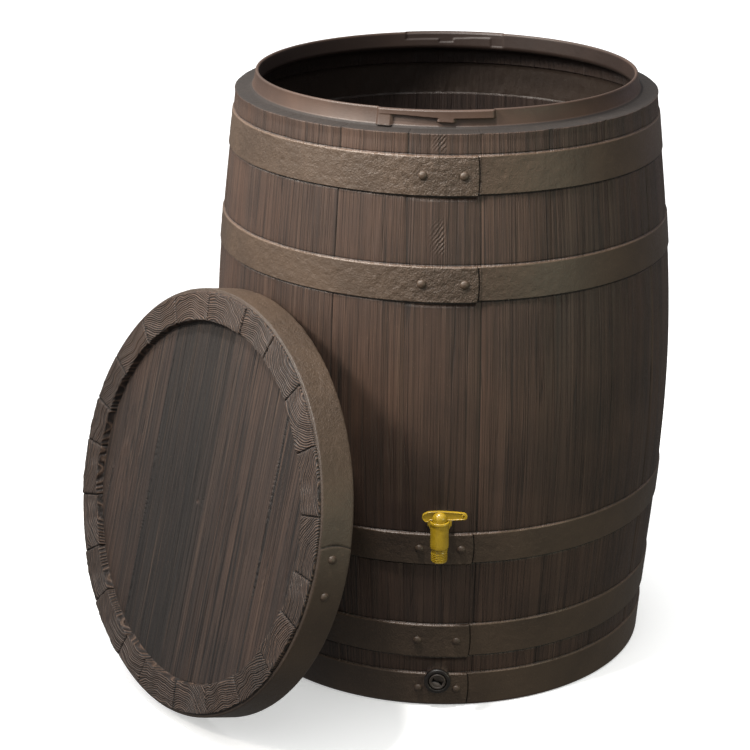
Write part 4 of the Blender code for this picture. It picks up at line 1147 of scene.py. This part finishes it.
def make_lever(material):
    """The T handle: an upright plate with a raised rim, on a domed hub."""
    left, right = -0.0285, 0.0457
    foot, top = 0.3778, 0.3975
    outline = [
        (-0.0090, foot + 0.0040, 0.0020), (0.0090, foot + 0.0040, 0.0020), (0.0190, foot + 0.0042, 0.0040),
        (right - 0.0030, foot + 0.0058, 0.0068), (right, foot + 0.0120, 0.0066),
        (right - 0.0042, top - 0.0026, 0.0068),
        (0.0180, top - 0.0006, 0.0120), (-0.0040, top, 0.0120),
        (left + 0.0080, top - 0.0014, 0.0090), (left, top - 0.0070, 0.0080), (left, foot + 0.0062, 0.0070),
        (left + 0.0056, foot + 0.0002, 0.0060), (left + 0.0110, foot + 0.0003, 0.0030),
        (left + 0.0128, foot + 0.0040, 0.0030)]
    web, rim, half = 0.0013, 0.0015, 0.0027
    edge = 0.0005
    layers = [
        (rim + edge, -web), (rim, -half + 0.0003), (rim - 0.0003, -half), (edge, -half), (0.0, -half + edge),
        (0.0, half - edge), (edge, half), (rim - 0.0003, half), (rim, half - 0.0003), (rim + edge, web)]
    plate = layered_plate("lever_plate", [(plate_outline(inset(outline, amount)), y + SPINDLE_Y)
                                          for amount, y in layers], material)
    radius, crest = 0.0122, 0.3966
    hub = [(radius * math.sin(math.pi / 2 * i / 14), crest - radius * (1 - math.cos(math.pi / 2 * i / 14)))
           for i in range(15)] + [(radius, 0.3776), (0.0, 0.3776)]
    hub = turned("lever_hub", hub, material, SPINDLE)
    eye = rounded([(0.0017, 0.0028), (0.0038, 0.0028), (0.0042, 0.0022), (0.0042, -0.0022), (0.0038, -0.0028),
                   (0.0017, -0.0028)], 0.0003)
    eye = turned("lever_eye", eye, material, LEVER_EYE, "front", 40)
    cut_away(plate, turned("cutter", rod(0.0017, 0.01, -0.01), material, LEVER_EYE, "front", 40))
    return join_meshes(plate, [hub, eye])


# === Drain ===
def make_drain_bush(material):
    """The dark moulded ring of the drain, with a rolled edge, a stepped seat and a threaded shank."""
    profile = rounded([(0.0115, 0.0), (0.0155, 0.0), (0.0155, 0.0044), (0.0163, 0.0060), (0.0180, 0.0064),
                       (0.0214, 0.0058), (0.0226, 0.0042), (0.0226, 0.0)], 0.0008)
    profile += [(0.0165, 0.0), *screw_ridges(0.0165, -0.0030, -0.0370, 0.0020, 0.0008), (0.0158, -0.0386),
                (0.0115, -0.0386)]
    return turned("drain_ring", profile, material, (0.0, BUSH_BACK, DRAIN_HEIGHT), "front")


def make_drain_plug(material, shadow):
    """The plug: a dished head with a raised rim and a deep bow-tie recess for a key, on a threaded shank."""
    back = BUSH_BACK - 0.0022
    profile = rounded([(0.0, 0.0034), (0.0106, 0.0034), (0.0114, 0.0043), (0.0134, 0.0045), (0.0142, 0.0034),
                       (0.0142, 0.0)], 0.0006)
    profile += [(0.0111, 0.0), *screw_ridges(0.0111, -0.0020, -0.0110, 0.0018, 0.0007), (0.0102, -0.0130),
                (0.0, -0.0130)]
    plug = turned("plug_head", profile, material, (0.0, back, DRAIN_HEIGHT), "front")
    bow = [(-0.0094, -0.0048), (-0.0030, -0.0017), (0.0030, -0.0017), (0.0094, -0.0048), (0.0094, 0.0048),
           (0.0030, 0.0017), (-0.0030, 0.0017), (-0.0094, 0.0048)]
    cosine, sine = math.cos(math.radians(-20.0)), math.sin(math.radians(-20.0))
    outline = plate_outline([(x * cosine - z * sine, x * sine + z * cosine + DRAIN_HEIGHT, 0.0012)
                             for x, z in bow])
    cutter = layered_plate("cutter", [(outline, back - 0.0080), (outline, back + 0.0068)], material)
    cut_away(plug, cutter)
    # The bow-tie recess's faces get the near-black painted shade material.
    plug.data.materials.append(shadow)
    for face in plug.data.polygons:
        x, y, z = face.center
        if y > back - 0.0032 and math.hypot(x, z - DRAIN_HEIGHT) < 0.0099:
            face.material_index = 1
    return plug


# === The object ===
brown = barrel_brown("barrel_brown", 2, 0.45)
lid_brown = barrel_brown("lid_brown", 0, 0.8, PLANK_SEAMS)
yellow = tap_yellow()
white = plain_plastic("valve_white", srgb(205, 203, 196), srgb(222, 220, 214), 0.38)
fitting_brown = plain_plastic("fitting_brown", srgb(40, 34, 29), srgb(58, 49, 42), 0.50)
ring_brown = plain_plastic("ring_brown", srgb(17, 14, 12), srgb(33, 27, 23), 0.36)
# near-black painted shade for the plug's key recess
recess_shade = plain_plastic("drain_recess_shade", srgb(7, 6, 5), srgb(15, 13, 11), 0.75)
black = plain_plastic("fitting_black", srgb(20, 20, 21), srgb(34, 34, 35), 0.45)
rubber = plain_plastic("seal_rubber", srgb(17, 17, 17), srgb(32, 31, 30), 0.72, 420.0)

barrel = make_barrel(brown)
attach(barrel, "barrel")
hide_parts("barrel_body")

lid = make_lid(lid_brown)
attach(lid, "lid")
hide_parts("lid")

tap = make_tap_body(yellow)
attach(tap, "barrel")
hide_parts("tap_body")
clip = make_collar_clip(yellow)
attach(clip, "barrel")
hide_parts("tap_collar")
lever = make_lever(yellow)
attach(lever, "tap_handle")
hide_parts("tap_lever")

drain = make_drain_bush(ring_brown)
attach(drain, "barrel")
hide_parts("drain_bush")
plug = make_drain_plug(fitting_brown, recess_shade)
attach(plug, "drain_plug")
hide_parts("drain_plug")

FINISHES = {
    white: ("tap_valve_plug",),
    black: ("tap_lock_nut", "drain_lock_nut"),
    rubber: ("tap_plug_seal_lower", "tap_plug_seal_upper", "tap_seat_seal", "tap_outer_washer",
             "tap_inner_washer", "drain_gasket", "drain_inner_washer", "drain_plug_seal"),
}
for material, names in FINISHES.items():
    for name in names:
        paint(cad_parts[name], material)


# === Stage, light and camera ===
def make_stage():
    """A pale floor that is one with the backdrop."""
    shape = bmesh.new()
    bmesh.ops.create_grid(shape, x_segments=1, y_segments=1, size=30.0)
    floor = new_object("floor", mesh_from(shape, "floor"), None)
    s = Shader("studio_white")
    cloud = s.noise(3.0, 2.0, 0.5)
    pale = s.mix(cloud, (0.90, 0.90, 0.90, 1.0), (0.92, 0.92, 0.92, 1.0))
    s.set(colour=pale, roughness=0.9, emission_colour=pale, emission_strength=0.42)
    floor.data.materials[0] = s.material
    floor.visible_diffuse = False
    floor.visible_glossy = False


def aimed_light(name, kind, place, aim, power, tint):
    """Adds a light at place that shines towards aim, and gives back its data."""
    light = bpy.data.lights.new(name, kind)
    light.energy = power
    light.color = tint
    obj = bpy.data.objects.new(name, light)
    bpy.context.scene.collection.objects.link(obj)
    obj.location = place
    obj.rotation_euler = (Vector(aim) - Vector(place)).to_track_quat("-Z", "Y").to_euler()
    return light


def area_light(name, place, aim, size, power, tint):
    light = aimed_light(name, "AREA", place, aim, power, tint)
    light.shape = "RECTANGLE"
    light.size, light.size_y = size


def spot_light(name, place, aim, radius, cone, power, tint):
    light = aimed_light(name, "SPOT", place, aim, power, tint)
    light.shadow_soft_size = radius
    light.spot_size = math.radians(cone)
    light.spot_blend = 1.0


SKY_LOW, SKY_HIGH = 0.17, 1.64          # strength of the sky's light from below and from its bright side
SKY_BRIGHT_SIDE = (-0.45, -0.10, 0.9)
make_stage()
world = bpy.data.worlds.new("studio")
world.use_nodes = True
sky = world.node_tree
direction = sky.nodes.new("ShaderNodeTexCoord").outputs["Generated"]
towards = sky.nodes.new("ShaderNodeVectorMath")
towards.operation = "DOT_PRODUCT"
towards.inputs[1].default_value = Vector(SKY_BRIGHT_SIDE).normalized()
sky.links.new(direction, towards.inputs[0])
fade = sky.nodes.new("ShaderNodeMapRange")
fade.interpolation_type = "SMOOTHSTEP"
for socket, number in zip(fade.inputs[1:5], (0.0, 0.95, SKY_LOW, SKY_HIGH)):
    socket.default_value = number
sky.links.new(towards.outputs["Value"], fade.inputs[0])
sky.nodes["Background"].inputs["Color"].default_value = (1.0, 1.0, 1.0, 1.0)
sky.links.new(fade.outputs[0], sky.nodes["Background"].inputs["Strength"])
bpy.context.scene.world = world
spot_light("key", (-2.4, -1.35, 2.9), (-0.16, -0.2, 1.08), 0.52, 33.0, 1000.0, (1.0, 0.94, 0.85))
spot_light("top", (-0.75, -1.15, 3.7), (-0.15, -0.35, 0.5), 0.16, 44.0, 560.0, (1.0, 0.97, 0.93))
area_light("edge", (2.6, 2.0, 1.3), (0.2, 0.0, 0.6), (0.4, 2.0), 2.2, (1.0, 0.80, 1.0))
area_light("fill", (2.4, -2.2, 0.7), (-0.2, -0.35, 0.25), (1.2, 0.8), 20.0, (0.92, 1.0, 0.74))
bpy.context.scene.view_settings.view_transform = "Standard"

CAMERA_LENS = 99.40
CAMERA_PLACE = (0.0, -3.5104, 1.7543)
CAMERA_PITCH, CAMERA_YAW, CAMERA_ROLL = (math.radians(angle) for angle in (20.13, 1.967, 0.157))
forward = Vector((-math.sin(CAMERA_YAW) * math.cos(CAMERA_PITCH),
                  math.cos(CAMERA_YAW) * math.cos(CAMERA_PITCH), -math.sin(CAMERA_PITCH)))
right = Vector((math.cos(CAMERA_YAW), math.sin(CAMERA_YAW), 0.0))
up = right.cross(forward)
across = math.cos(CAMERA_ROLL) * right + math.sin(CAMERA_ROLL) * up
upward = math.cos(CAMERA_ROLL) * up - math.sin(CAMERA_ROLL) * right
lens = bpy.data.cameras.new("camera")
lens.sensor_width = 36.0
lens.lens = CAMERA_LENS
camera = bpy.data.objects.new("camera", lens)
bpy.context.scene.collection.objects.link(camera)
axes = Matrix((across, upward, -forward)).transposed().to_4x4()
camera.matrix_world = Matrix.Translation(CAMERA_PLACE) @ axes
bpy.context.scene.camera = camera

bpy.context.view_layer.update()
